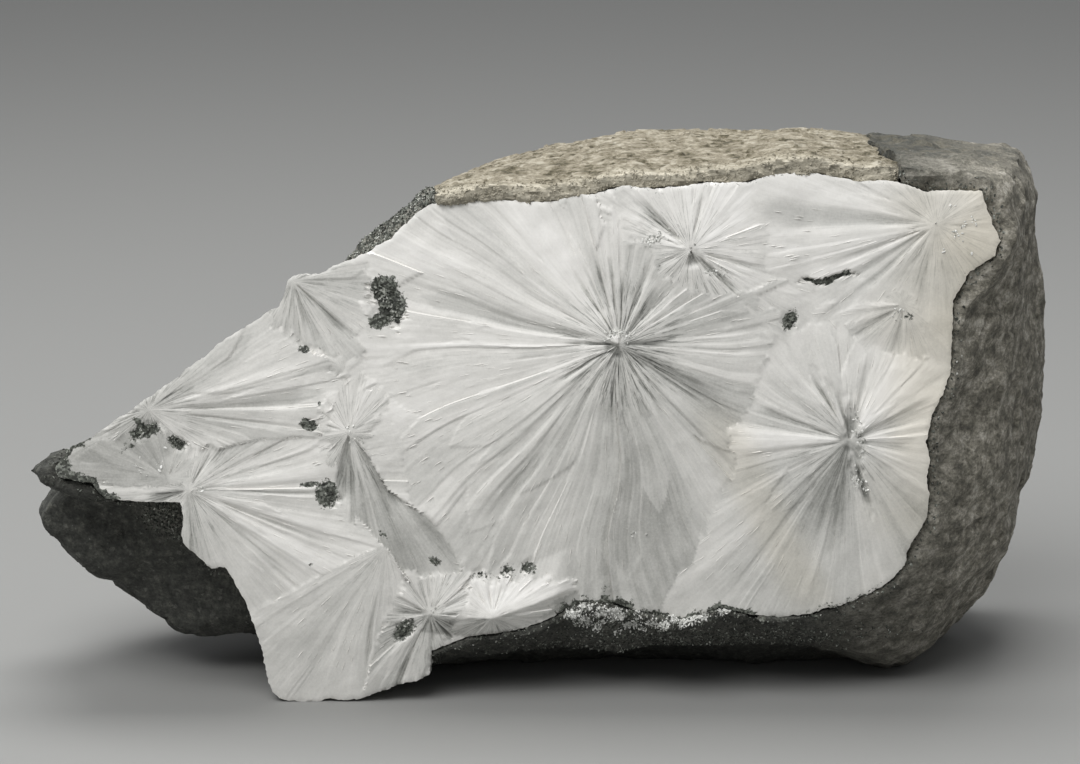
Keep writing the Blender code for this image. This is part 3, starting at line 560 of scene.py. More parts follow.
def worn(x, z):
    """How far the face is worn down into a groove, from 0 to 1."""
    uneven = 0.35 * drift(x / 1.2, z / 1.2, 25) + 0.25 * drift(x * 2, z * 2, 26)
    return marked(GROOVES, x, z, uneven, 0.5, 1.25)


def lay_laths(depth, tone, spray, turn, radius, relief):
    """Steps and tilts the laths of every size."""
    for count, length, step, tilt, widest, contrast in LATH_SIZES:
        lath, share = lath_of(turn, count, spray)
        width = math.tau * radius / count
        pointed = radius + LATH_POINT * np.minimum(width, widest) * np.abs(2 * share - 1)
        piece = pointed / (length * (0.6 + 0.9 * chance(lath, spray, count, 5)))
        piece = piece + 9 * chance(lath, spray, count, 6)
        own = lath + 7 * np.floor(piece)
        rise, lean, shine = (chance(own, spray, count, draw) - 0.5 for draw in (1, 2, 3))
        raised = 2 * step * rise + tilt * lean * (2 * share - 1) + 0.25 * step * (np.modf(piece)[0] - 0.5)
        depth -= np.minimum(width, widest) * relief * raised
        # Partly own tone, partly painted sheen; laths that stand out are painted a little brighter.
        tone += fade(width, 0.06, 0.3) * contrast * (0.4 + 0.6 * relief) * (2 * shine + 0.5 * rise)


def open_gaps(depth, tone, spray, turn, radius, relief):
    """Opens gaps between blades near each spray's start and darkens them with painted shade."""
    for count, share_open in GAP_LATHS:
        lath, share = lath_of(turn, count, spray + 50)
        first = GAP_START * 0.4 * (0.5 + chance(lath, spray, count, 7))
        last = GAP_START + (GAP_END - GAP_START) * chance(lath, spray, count, 8) ** 2
        gap = (chance(lath, spray, count, 9) < share_open) * fade(radius, first, first + 0.8)
        gap = gap * (1 - fade(radius, last * 0.5, last)) * (1 - np.abs(2 * share - 1)) * relief
        depth += GAP_DEPTH * gap * np.minimum(1.0, math.tau * radius / count)
        tone -= GAP_SHADE * gap


def pick_blades(depth, tone, spray, turn, radius, settled):
    """Lifts or sinks the listed blades."""
    for name, blades in PICKED.items():
        for direction, half, start, end, brighter, deeper in blades:
            shade = (spray == NAMES.index(name)) * near_direction(turn, direction, half, 0.6 * half)
            shade = shade * fade(radius, start * 0.6, start * 1.3) * (1 - fade(radius, end * 0.65, end))
            shade = shade * (SOFT_PICKED + (1 - SOFT_PICKED) * settled)
            depth += deeper * shade
            # Partly own tone, partly painted shade on sunk blades and painted highlight on raised ones.
            tone += brighter * shade


def break_face(depth, tone, grit, groove, x, z):
    """Wears the grooves, sinks the pits round the chips, opens the crack and leaves the face uneven.
    Grooves and crack are darkened with painted shade.
    """
    depth += GROOVE_DEPTH * groove
    tone -= (GROOVE_SHADE - GROOVE_MOTTLE * drift(x * 1.5, z * 1.5, 27)) * groove
    for place in CHIPS.values():
        ragged = oval_share(place, x, z, 0.2) / place[5]
        ragged += 0.35 * drift(x * 1.4, z * 1.8, 21) + 0.25 * drift(x * 4, z * 4, 23)
        depth += CHIP_PIT * (2 * place[5] - 1) * (1 - fade(ragged, 0.9, 1.15))
    wavy = z + 0.35 * np.sin(x * 1.1) + 0.2 * drift(x * 2, z, 24)
    slit = 1 - fade(oval_share(CRACK, x, wavy, 0.1) + 0.4 * drift(x * 1.3, z * 2.5, 22), 0.7, 1.1)
    depth += CRACK_DEPTH * slit
    tone -= CRACK_SHADE * slit
    # The crack also takes the grit's dark grains, as painted shade in it.
    np.maximum(grit, slit, out=grit)
    depth += 0.03 * drift(x / 0.8, z / 0.8, 31) + 0.10 * drift(x / 3, z / 3, 32)
    tone += 0.03 * drift(x / 5, z / 5, 33) + 0.02 * drift(x / 1.5, z / 1.5, 34)


def read_face(x, z, spray, turn, radius, margin):
    """Depth, brightness, cream stain, dark grit and strength of the streaks of the face at each point."""
    low = np.maximum(0, (FACE_MIDDLE_Z - z) / FACE_MIDDLE_Z)
    high = np.maximum(0, (z - FACE_MIDDLE_Z) / (FACE_TOP_Z - FACE_MIDDLE_Z))
    reach = (CENTRES[:, 2:] - np.hypot(x - CENTRES[:, :1], z - CENTRES[:, 1:2])).max(0)
    depth = BOW_LOW * low**2 + BOW_HIGH * high**2 - CONE_SLOPE * reach
    above = z - np.interp(x, *np.transpose(RIDGE))
    crest = np.where(above > 0, 1 - above / RIDGE_ABOVE, 1 + above / RIDGE_BELOW).clip(0, 1)
    left, right = RIDGE[0][0], RIDGE[-1][0]
    crest = crest * fade(x, left, left + 4) * (1 - fade(x, right - 3, right + 1))
    depth -= RIDGE_HEIGHT * crest
    bright, sheen_direction, swing, relief, _ = LOOKS[spray].T
    settled = np.where(relief < SOFT_BELOW, fade(margin, 0, SOFT_BORDER), 1)
    bright = SOFT_TONE + (bright - SOFT_TONE) * settled
    relief = relief * (SOFT_RELIEF + (1 - SOFT_RELIEF) * settled)
    # Painted sheen: blades are brighter or darker by the way they point.
    tone = bright + swing * np.cos(turn - np.radians(sheen_direction))
    # Painted shade on the ridge's lower side, which faces down.
    tone -= RIDGE_SHADE * (crest > 0) * (1 - fade(above, -0.4, 0.3))
    # These change the depth and tone that they are given, and the last one the grit too.
    lay_laths(depth, tone, spray, turn, radius, relief)
    open_gaps(depth, tone, spray, turn, radius, relief)
    pick_blades(depth, tone, spray, turn, radius, settled)
    grit, groove = marked(GRIT, x, z), worn(x, z)
    break_face(depth, tone, grit, groove, x, z)
    # The right end is brighter and cream, and a cream band follows the border of the right spray.
    tone += 0.15 * fade(x, 53, 62) * fade(z, 68, 74)
    end = 0.6 * fade(x + 4 * drift(x / 6, z / 6, 35), 46, 66)
    band = 0.3 * (1 - fade(np.abs(x - 31 + (z - 35) * 0.5), 1, 6)) * fade(z, 12, 20) * (1 - fade(z, 42, 50))
    return depth, tone, np.maximum(end, band), grit, (0.15 + 0.85 * relief) * (1 - 0.8 * groove)


def placed(x, depth, z):
    """Points drawn on the face and set back along the dip, in metres, no lower than the ground."""
    return np.stack([x, FACE_Y + depth, np.maximum(0, z - DIP * depth)], axis=-1) * MM


# --- the vein's mesh ---


def vein_edge():
    """The vein's outline on its face plane: the longest loop between the frame's face and its walls."""
    shape = bmesh.new()
    shape.from_mesh(copy_of_node("pectolite_vein"))
    beside = {}
    for edge in shape.edges:
        face_front, wall_front = sorted(face.normal.y for face in edge.link_faces)
        if face_front < FACE_FRONT and abs(wall_front) < WALL_FRONT:
            for here, there in (edge.verts, reversed(edge.verts)):
                beside.setdefault(here.index, []).append(there.index)
    points = {vert.index: vert.co / MM for vert in shape.verts}
    shape.free()
    loops = []
    while beside:
        loop = [next(iter(beside))]
        while onward := [i for i in beside.pop(loop[-1], ()) if i in beside]:
            loop.append(onward[0])
        loops.append(loop)
    ring = np.array([points[i] for i in max(loops, key=len)])
    flat = np.stack([ring[:, 0], ring[:, 2] + DIP * (ring[:, 1] - FACE_Y)], axis=1)
    nearer = np.roll(flat, -1, axis=0)
    turns_left = (flat[:, 0] * nearer[:, 1] - nearer[:, 0] * flat[:, 1]).sum() > 0
    return flat[::-1] if turns_left else flat


def broken_edge(corners):
    """The outline with close points and small jags, where the fibres end, and the way out at each point."""
    ring = []
    for corner, run in zip(corners, np.roll(corners, -1, axis=0) - corners):
        steps = max(1, round(float(np.hypot(*run)) / EDGE_STEP))
        ring += [corner + run * k / steps for k in range(steps)]
    ring = np.array(ring)
    run = np.roll(ring, -1, axis=0) - np.roll(ring, 1, axis=0)
    out = np.stack([-run[:, 1], run[:, 0]], axis=1) / np.hypot(*run.T)[:, None]
    jags = sum(part * drift(*(ring.T * often), 41) for often, part in ((0.45, 0.6), (1.3, 0.4), (3, 0.4)))
    return ring + out * (EDGE_OUT + EDGE_JAG * jags)[:, None], out


def spray_points(corners, ring, number):
    """Points of the face on one spray's rings and rays, clear of the edge, with their turn and radius."""
    centre_x, centre_z, _ = CENTRES[number]
    found, radius = [], FIRST_RING
    while radius < FURTHEST:
        count = 2 ** max(4, math.ceil(math.log2(math.tau * radius / ACROSS_LATHS)))
        turn = np.arange(count) * math.tau / count
        uneven = 0.1 * ALONG_LATHS * (chance(np.arange(count), number, round(radius * 10)) - 0.5)
        reach = radius * (1 + uneven / radius)
        x, z = centre_x + reach * np.cos(turn), centre_z + reach * np.sin(turn)
        bent = turn - SWERVE * drift(x / SWERVE_SIZE, z / SWERVE_SIZE, 3)
        x, z = centre_x + reach * np.cos(bent), centre_z + reach * np.sin(bent)
        kept = holder(x, z)[0] == number
        kept[kept] = inside(corners, x[kept], z[kept])
        if radius > 4 and not kept.any():
            break
        found.append(np.stack([x, z, turn, reach], axis=1)[kept])
        radius += ALONG_LATHS * min(1, 0.4 + radius / 8)
    found = np.concatenate(found)
    return found[away_from(ring, found[:, 0], found[:, 1]) > EDGE_CLEAR]


def fill_outline(ring, inner):
    """Triangles over an outline and the points within it, as places in the two lists laid end to end."""
    points = [Vector(point) for point in np.concatenate([ring, inner])]
    sheet = delaunay_2d_cdt(points, [], [list(range(len(ring)))], 1, 1e-5)
    first = np.array([origin[0] if origin else -1 for origin in sheet[3]])
    triangles = first[np.array([triangle for triangle in sheet[2] if len(triangle) == 3])]
    return triangles[(triangles >= 0).all(1)]


def wall_rows(ring, out, depth):
    """Rows of points down the vein's broken walls, from just behind its edge to its back, and their tones."""
    x, z = ring.T
    rows, tones = [], []
    for share in WALL_SHARES:
        jag = WALL_JAG * (drift(x * 2.2, z * 2.2 + share * 4, 43) + 0.2) * math.sin(math.pi * share)
        moved_x, moved_z = (ring + out * jag[:, None]).T
        rows.append(placed(moved_x, depth + share * (VEIN_THICKNESS - depth), moved_z))
        tones.append(WALL_TONE + WALL_SWING * drift(x * 2.5, z * 2.5 + share * 9, 45))
    return rows, tones


def back_points(ring):
    """Uneven points over the vein's back, within its last row."""
    sides = np.meshgrid(np.arange(-80, 80, BACK_STEP), np.arange(-5, 90, BACK_STEP))
    x, z = (side.ravel() for side in sides)
    x = x + 0.5 * drift(x * 3, z * 3, 51)
    z = z + 0.5 * drift(x * 3, z * 3, 52)
    kept = inside(ring, x, z)
    kept[kept] = away_from(ring, x[kept], z[kept]) > BACK_CLEAR
    x, z = x[kept], z[kept]
    return np.stack([x, FACE_Y + VEIN_THICKNESS + BACK_JAG * drift(x / 2, z / 2, 53), z], axis=1)


def vein_mesh():
    """The vein as one closed mesh: its face of laths, its broken walls and its back."""
    corners = vein_edge()
    ring, out = broken_edge(corners)
    edge = len(ring)
    edge_spray, edge_turn, edge_radius, _ = holder(*ring.T)
    parts = [np.column_stack([ring, edge_turn, edge_radius, edge_spray])]
    for number in range(len(SPRAYS)):
        lattice = spray_points(corners, ring, number)
        parts.append(np.column_stack([lattice, np.full(len(lattice), number)]))
    x, z, turn, radius, spray = np.concatenate(parts).T
    spray = spray.astype(int)
    front = fill_outline(ring, np.stack([x, z], axis=1)[edge:])
    depth, tone, cream, grit, streaks = read_face(x, z, spray, turn, radius, holder(x, z)[3])
    gap = away_from(ring, x, z)
    rim_grit = 1 - fade(gap, 0.2, RIM_GRIT_REACH * (0.6 + clumps(x, z)))
    grit = np.maximum(grit, marked(RIM_GRIT, x, z) * rim_grit)
    depth[:edge] += EDGE_BACK
    rows, row_tones = wall_rows(ring, out, depth[:edge])
    back_ring = rows[-1][:, [0, 2]] / MM
    back = back_points(back_ring)

    points = np.concatenate([placed(x, depth, z), *rows, back * MM])
    starts = [0, *(len(x) + edge * row for row in range(len(rows)))]
    step = np.arange(edge)
    onward = (step + 1) % edge
    faces = [front]
    for near, far in zip(starts, starts[1:]):
        faces.append(np.stack([near + step, near + onward, far + onward], axis=1))
        faces.append(np.stack([near + step, far + onward, far + step], axis=1))
    faces.append(fill_outline(back_ring, back[:, [0, 2]])[:, ::-1] + starts[-1])
    triangles = np.concatenate(faces)
    mesh = bpy.data.meshes.new("pectolite_vein_fibres")
    mesh.from_pydata(points.tolist(), [], triangles.tolist())

    # How strongly painted shade darkens the open gaps near each spray's start.
    core = (1 - fade(radius, 2, 15)) * LOOKS[spray, 4] * (1 - worn(x, z))
    # Splinters lie only well inside the edge, clear of the sprays' starts and of grit.
    for name, on_face, on_walls, on_back in (
        ("tone", tone, row_tones, 0.5),
        ("cream", cream, cream[:edge], 0.3),
        ("grit", grit, grit[:edge], 0),
        ("core", core, 0, 0),
        ("streaks", streaks, 1, 1),
        ("splinters here", (gap > 5) & (radius > 2) & (grit < 0.1), 0, 0),
        ("crumbs here", marked(CRUMBS, x, z) * clumps(x, z), 0, 0),
    ):
        walls = np.broadcast_to(on_walls, (len(rows), edge)).ravel()
        give(mesh, name, np.concatenate([on_face, walls, np.full(len(back), on_back)]))
    straight = np.arctan2(z - CENTRES[spray, 1], x - CENTRES[spray, 0])
    run = np.stack([np.cos(straight), np.full(len(x), CONE_SLOPE), np.sin(straight)], axis=1)
    behind = np.tile([1, 0, 0], (len(points) - len(x), 1))
    give(mesh, "run", np.concatenate([run, behind]), "FLOAT_VECTOR")
    lay_fibres(mesh, points, triangles, len(front))
    return mesh, ring


def lay_fibres(mesh, points, triangles, front_count):
    """The fibre map: turns around the spray and radius on the face, length round the edge on the walls."""
    x, y, z = points.T / MM
    corners_x, corners_z = x[triangles], (z + DIP * (y - FACE_Y))[triangles]
    spray, turn, _, _ = holder(corners_x.mean(1), corners_z.mean(1))
    each = np.arange(len(spray))
    u, v = np.empty(triangles.shape), np.empty(triangles.shape)
    for corner in range(3):
        turns, radii = around_sprays(corners_x[:, corner], corners_z[:, corner])
        own = turn + (turns[spray, each] - turn + math.pi) % math.tau - math.pi
        u[:, corner] = own / math.tau + 2 * spray
        v[:, corner] = radii[spray, each]
    u[front_count:] = (corners_x + corners_z)[front_count:] * 0.01
    v[front_count:] = y[triangles][front_count:] * 0.4
    mesh.uv_layers.new(name="fibres").data.foreach_set("uv", np.stack([u, v * 0.01], axis=2).ravel())


# --- the rock ---


def wear_rim(mesh):
    """Wears the rock back along its thin rim over the vein."""
    points = positions(mesh)
    x, y, z = (points / MM).T
    (start_x, start_z), (end_x, end_z) = THIN_RIM
    length = math.hypot(end_x - start_x, end_z - start_z)
    run_x, run_z = (end_x - start_x) / length, (end_z - start_z) / length
    along = (x - start_x) * run_x + (z - start_z) * run_z
    above = (z - start_z) * run_x - (x - start_x) * run_z
    worn_by = fade(along, -THIN_RIM_ENDS, 0) * (1 - fade(along, length - THIN_RIM_ENDS, length + 1))
    worn_by = worn_by * fade(above, 0.3, 2.6) * (1 - fade(y - FACE_Y, 0, THIN_RIM_BACK)) * THIN_RIM_WORN * MM
    points += worn_by[:, None] * np.array([run_z, 0, -run_x])
    mesh.vertices.foreach_set("co", points.ravel())
    mesh.update()


def mark_rock(mesh, rim, hollows, band):
    """Marks where grains lie on the rock: white ones from the vein, dark ones by its rim and in hollows.

    The rim's band reaches so many millimetres from the vein's edge. The marks also paint the rock and rind
    paler, partly as painted light where they lie in shade.
    """
    x, y, z = (positions(mesh) / MM).T
    z = z + DIP * (y - FACE_Y)
    front = y < FACE_Y + GRAINS_BACK
    spilled, by_rim = np.zeros(len(x)), np.zeros(len(x))
    x, z = x[front], z[front]
    ground = marked(SPILLED, x, z)
    patch = ground + 0.6 * drift(x / 1.3, z, 63) + 0.6 * drift(x * 1.6, z * 1.6, 64)
    spilled[front] = fade(patch, 0.75, 0.95) * fade(ground, 0.1, 0.5)
    # Every second point of the rim is near enough.
    beside = 1 - fade(away_from(rim[::2], x, z), 0.5 * band, band)
    dark = np.maximum(marked(hollows, x, z), 0.6 * ground * (1 - spilled[front]))
    by_rim[front] = np.maximum(RIM_MARK * beside, dark)
    give(mesh, "spilled here", spilled)
    give(mesh, "rim here", by_rim)


# --- materials ---


def pectolite_material():
    """Pectolite, silky fibres on a fresh break: white to grey streaks along the fibres, a soft silk gloss."""
    finish, add, shader = start_material("pectolite, silky fibres, freshly broken")
    tone, streaks, core, cream, grit = (
        add(MARK, attribute_name=name).outputs["Fac"]
        for name in ("tone", "streaks", "core", "cream", "grit")
    )
    place = add("ShaderNodeTexCoord").outputs["Object"]
    fibres = add("ShaderNodeUVMap", uv_map="fibres")
    # Fine streaks: 300 a turn, 0.3 mm wide at 15 mm out, with finer ones within them; each runs about 7 mm.
    # Bundles: 70 a turn, which run the length of a blade. Gaps: 130 a turn, 0.1 to 0.3 mm wide.
    fine, bundles, gaps = (
        add(NOISE, {
            "Vector": add(VECTOR_MATH, [fibres, (around, along, 1)], operation="MULTIPLY"),
            "Scale": 1, "Detail": detail, "Roughness": rough,
        }, noise_dimensions="2D")
        for around, along, detail, rough in ((300, 14, 5, 0.62), (70, 3, 3, 0.5), (130, 20, 4, 0.7))
    )
    spread = add(MATH, [fine, 0.19, -0.205], operation="MULTIPLY_ADD")
    spread = add(MATH, [bundles, 0.22, spread], operation="MULTIPLY_ADD")
    level = add(MATH, [spread, streaks, tone], operation="MULTIPLY_ADD")
    # Broken fibre ends scatter light: grains 0.2 to 0.4 mm across.
    ends = add(NOISE, {"Vector": place, "Scale": 2600, "Detail": 3, "Roughness": 0.75})
    ends = add(RANGE, [ends, 0.3, 0.7, -0.05, 0.05])
    level = add(MATH, [level, ends], operation="ADD")
    # Near a spray's start some of the gaps between fibres stay open; painted shade darkens them.
    dark = add(RANGE, [gaps, 0.51, 0.66, 0, 0.55])
    dark = add(MATH, [core, dark], operation="MULTIPLY")
    level = add(MATH, [level, dark], operation="SUBTRACT")
    look = add(RAMP, [level], (
        (0, "#4c4d49"), (0.25, "#8f8f8a"), (0.5, "#cac9c4"), (0.72, "#e5e3de"), (1, "#f7f5f1"),
    ))
    look = add(MIX, {0: cream, 6: look, 7: colour("#eee6d3")}, data_type="RGBA", blend_type="MULTIPLY")
    # Grit: dark grains 0.2 to 0.6 mm across, closer together where the mark is high.
    lumps = add(NOISE, {"Vector": place, "Scale": 1900, "Detail": 4, "Roughness": 0.7})
    thick = add(MATH, [grit, 0.62, lumps], operation="MULTIPLY_ADD")
    thick = add(RANGE, [thick, 0.79, 0.86])
    grains = add(CELLS, {"Vector": place, "Scale": 3200}).outputs["Color"]
    pepper = add(RAMP, [grains], ((0.2, "#2c2e28"), (0.5, "#4d5048"), (0.8, "#81847c")))
    fill(shader, {
        "Base Color": add(MIX, {0: thick, 6: look, 7: pepper}, data_type="RGBA"),
        "Roughness": add(RANGE, [fine, 0, 1, 0.50, 0.70]),
        "Normal": add(BUMP, {"Strength": 0.18, "Distance": 0.00015, "Height": fine}),
        "Tangent": add("ShaderNodeTangent", direction_type="UV_MAP", uv_map="fibres"),
        "Anisotropic": 0.5, "IOR": 1.60,
    })
    return finish


def basalt_material():
    """Basalt on a rough break: near black and matt, finely mottled, and a few pale grains catch the light."""
    finish, add, shader = start_material("basalt, rough break")
    rim, spilled = (
        add(MARK, attribute_name=name).outputs["Fac"] for name in ("rim here", "spilled here")
    )
    place = add("ShaderNodeTexCoord").outputs["Object"]
    # Mottled in patches 1.6 mm across, with grains of 0.4 mm.
    mottle = add(NOISE, {"Vector": place, "Scale": 620, "Detail": 6, "Roughness": 0.68})
    look = add(RAMP, [mottle], (
        (0.30, "#2e2f2b"), (0.46, "#42433e"), (0.56, "#52534d"), (0.66, "#686860"), (0.78, "#8c8a80"),
    ))
    fine = add(NOISE, {"Vector": place, "Scale": 2400, "Detail": 3, "Roughness": 0.7})
    # The right flank and the top are an older break, browner, with pale dust in streaks 2 by 3 mm.
    aslant = add("ShaderNodeMapping", {"Vector": place, "Rotation": (0, -0.35, 0), "Scale": (0.65, 1, 1)})
    dust = add(NOISE, {"Vector": aslant, "Scale": 520, "Detail": 5, "Roughness": 0.66})
    older = add(RAMP, [dust], (
        (0.35, "#66635a"), (0.46, "#898578"), (0.55, "#aca79a"), (0.66, "#d3cec2"),
    ))
    split = add(SPLIT, [place]).outputs
    right, upper, top, behind = (
        add(RANGE, [split[axis], start, end, least, most])
        for axis, start, end, least, most in (
            ("X", 0.040, 0.066, 0, 1), ("Z", 0.061, 0.072, 0, 0.40), ("Z", 0.079, 0.083, 0, 0.6),
            ("Y", -0.0225, -0.0160, 0.32, 1),
        )
    )
    aged = add(MATH, [right, upper], operation="MAXIMUM")
    # Painted light: the top's shaded front lip loses less of the paler colour than the top behind it.
    top = add(MATH, [top, behind], operation="MULTIPLY")
    aged = add(MATH, [aged, top], operation="SUBTRACT", use_clamp=True)
    # Tan dirt from the rind lies in the hollows of the top.
    dirt = add(RANGE, [dust, 0.42, 0.60, 0, 1.1])
    dirt = add(MATH, [dirt, top], operation="MULTIPLY", use_clamp=True)
    # One grain in sixteen is pale feldspar, 0.7 mm across.
    grains = add(CELLS, {"Vector": place, "Scale": 1500})
    pick = add("ShaderNodeSeparateColor", [grains.outputs["Color"]])
    pale = add(RANGE, [pick, 0.94, 1, 0, 0.22])
    tint = add(RAMP, [fine], ((0.3, "#828282"), (0.5, "#cfcfcf"), (0.68, "#ffffff")))
    # The hollow under the vein and the rock along its rim are paler and granular; under the vein this is
    # partly painted light that lifts the shade there.
    loose = add(RANGE, [fine, 0.35, 0.65])
    paler = add(MATH, [rim, loose], operation="MULTIPLY")
    # White pectolite is crushed into the rock where the vein meets it.
    thick = add(MATH, [spilled, 0.45, fine], operation="MULTIPLY_ADD")
    crushed = add(RANGE, [thick, 0.70, 0.84])
    for share, over, blend in (
        (aged, older, "MIX"), (dirt, colour("#6e6959"), "MIX"), (pale, colour("#a7a69d"), "MIX"),
        (0.8, tint, "MULTIPLY"), (paler, colour("#8c8a82"), "MIX"), (crushed, colour("#d6d6d2"), "MIX"),
    ):
        look = add(MIX, {0: share, 6: look, 7: over}, data_type="RGBA", blend_type=blend)
    # The older break is worn smoother.
    smoother = add(RANGE, [aged, 0, 1, 1, 0.5])
    height = add(MATH, [fine, 0.45, mottle], operation="MULTIPLY_ADD")
    height = add(MATH, [height, smoother], operation="MULTIPLY")
    fill(shader, {
        "Base Color": look,
        "Normal": add(BUMP, {"Strength": 0.9, "Distance": 0.0006, "Height": height}),
        "Roughness": 0.82,
    })
    return finish


def rind_material():
    """Weathered rind on the basalt: a tan, dusty crust in thin flakes, with olive-brown dirt between them."""
    finish, add, shader = start_material("weathered rind, flaky and dusty")
    place = add("ShaderNodeTexCoord").outputs["Object"]
    # Flakes 0.8 mm thick on edge and twice as long, in patches 3 mm across.
    laid = add("ShaderNodeMapping", {"Vector": place, "Rotation": (0, 0.10, 0), "Scale": (0.58, 0.85, 1.15)})
    flakes = add(NOISE, {"Vector": laid, "Scale": 1100, "Detail": 4, "Roughness": 0.72})
    patches = add(NOISE, {"Vector": laid, "Scale": 330, "Detail": 3, "Roughness": 0.6})
    level = add(MATH, [patches, 0.7, flakes], operation="MULTIPLY_ADD")
    look = add(RAMP, [level], (
        (0.66, "#423d2e"), (0.74, "#5e5846"), (0.81, "#777060"), (0.90, "#898271"), (1, "#a19b8c"),
    ))
    # Its right end is a little darker.
    split = add(SPLIT, [place])
    end = add(RANGE, [split.outputs["X"], 0.048, 0.060])
    look = add(MIX, {0: end, 6: look, 7: colour("#8a857b")}, data_type="RGBA", blend_type="MULTIPLY")
    # White dust from the vein lies on the rind beside it; this pale paint is also painted light, lifting the
    # rind's shaded front wall there.
    beside = add(MARK, attribute_name="rim here").outputs["Fac"]
    dusty = add(RANGE, [beside, 0, RIM_MARK, 0, 0.75])
    pale = add(MATH, [dusty, flakes], operation="MULTIPLY")
    fill(shader, {
        "Base Color": add(MIX, {0: pale, 6: look, 7: colour("#d9d3c2")}, data_type="RGBA"),
        "Normal": add(BUMP, {"Strength": 0.9, "Distance": 0.0004, "Height": level}),
        "Roughness": 0.92,
    })
    return finish


def speckled_material():
    """Granular wall rock, for the chips: grey-green grains with pale ones between them."""
    finish, add, shader = start_material("wall rock, granular, grey-green")
    place = add("ShaderNodeTexCoord").outputs["Object"]
    # Grains 0.4 mm across.
    grains = add(CELLS, {"Vector": place, "Scale": 2600})
    pick = add("ShaderNodeSeparateColor", [grains.outputs["Color"]])
    look = add(RAMP, [pick], (
        (0, "#2f312c"), (0.35, "#4a4d46"), (0.62, "#6d7068"), (0.82, "#8f9189"), (0.95, "#b9bab3"),
    ))
    look.color_ramp.interpolation = "CONSTANT"
    fill(shader, {
        "Base Color": look,
        "Normal": add(BUMP, {"Strength": 0.6, "Distance": 0.0003, "Height": grains}),
        "Roughness": 0.7,
    })
    return finish


def crumb_material():
    """Crushed pectolite: matt white crumbs, some a little grey, with no silk to them."""
    finish, add, shader = start_material("pectolite, crushed to crumbs")
    tone = add(MARK, attribute_name="tone").outputs["Fac"]
    look = add(RAMP, [tone], ((0.35, "#8f908b"), (0.6, "#cfcfca"), (0.95, "#efefeb")))
    fill(shader, {"Base Color": look, "Roughness": 0.7})
    return finish


def floor_material():
    """Pale matt paper: one even grey that takes soft shadows and shows no gloss."""
    finish, _, shader = start_material("floor, matt pale paper")
    fill(shader, {"Base Color": colour("#888886"), "Roughness": 0.8})
    return finish


# --- geometry trees ---


def rock_tree():
    """Roughens an even mesh as rock breaks: lumps, tilted chips, flaked steps and grains."""
    tree, add, given = start_tree("broken rock", {
        "Stretch": (1, 1, 1), "Swell": 0.0, "Lump size": 0.012, "Lump height": 0.001, "Chip size": 0.005,
        "Chip height": 0.001, "Step height": 0.0005, "Grain size": 0.001, "Grain height": 0.0004,
    })
    place = add("GeometryNodeInputPosition")
    stretched = add(VECTOR_MATH, [place, given["Stretch"]], operation="MULTIPLY")
    sizes = [add(MATH, [1, given[part + " size"]], operation="DIVIDE")
             for part in ("Lump", "Grain", "Chip")]
    lumps, grains, chips = (
        add(VECTOR_MATH, {0: stretched, "Scale": size}, operation="SCALE") for size in sizes
    )
    total = given["Swell"]
    for scaled, height, detail in ((lumps, "Lump height", 2), (grains, "Grain height", 3)):
        bumps = add(NOISE, {"Vector": scaled, "Scale": 1, "Detail": detail, "Roughness": 0.6})
        level = add(MATH, [bumps, 0.5], operation="SUBTRACT")
        total = add(MATH, [level, given[height], total], operation="MULTIPLY_ADD")
    cells = add(CELLS, {"Vector": chips, "Scale": 1}).outputs
    lean = add(VECTOR_MATH, [cells["Color"], (0.5, 0.5, 0.5)], operation="SUBTRACT")
    off = add(VECTOR_MATH, [chips, cells["Position"]], operation="SUBTRACT")
    tilt = add(VECTOR_MATH, [lean, off], operation="DOT_PRODUCT")
    step = add(SPLIT, [lean]).outputs["Z"]
    for level, height in ((tilt, "Chip height"), (step, "Step height")):
        total = add(MATH, [level, given[height], total], operation="MULTIPLY_ADD")
    out = add(VECTOR_MATH, {0: add("GeometryNodeInputNormal"), "Scale": total}, operation="SCALE")
    moved = add(MOVE, {0: given["Geometry"], "Offset": out})
    # Nothing goes below the ground.
    ground = add(VECTOR_MATH, [place, (-9, -9, 0)], operation="MAXIMUM")
    end_tree(add, given, add(MOVE, {0: moved, "Position": ground}))
    return tree


def scatter(add, given, mark, per_m2):
    """Points on a surface, closer together where its mark is high."""
    here = add(STORED, [mark], data_type="FLOAT")
    thick = add(MATH, [here, per_m2], operation="MULTIPLY")
    return add("GeometryNodeDistributePointsOnFaces",
               {0: given["Geometry"], "Density": thick, "Seed": given["Seed"]})


def lay(add, given, tone, inputs):
    """Lays a shape on each of the points, gives it its own brightness and makes one mesh of them all."""
    laid = add("GeometryNodeInstanceOnPoints", inputs)
    laid = add("GeometryNodeStoreNamedAttribute", {0: laid, "Name": "tone", "Value": tone},
               data_type="FLOAT", domain="INSTANCE")
    end_tree(add, given, add("GeometryNodeRealizeInstances", [laid]))


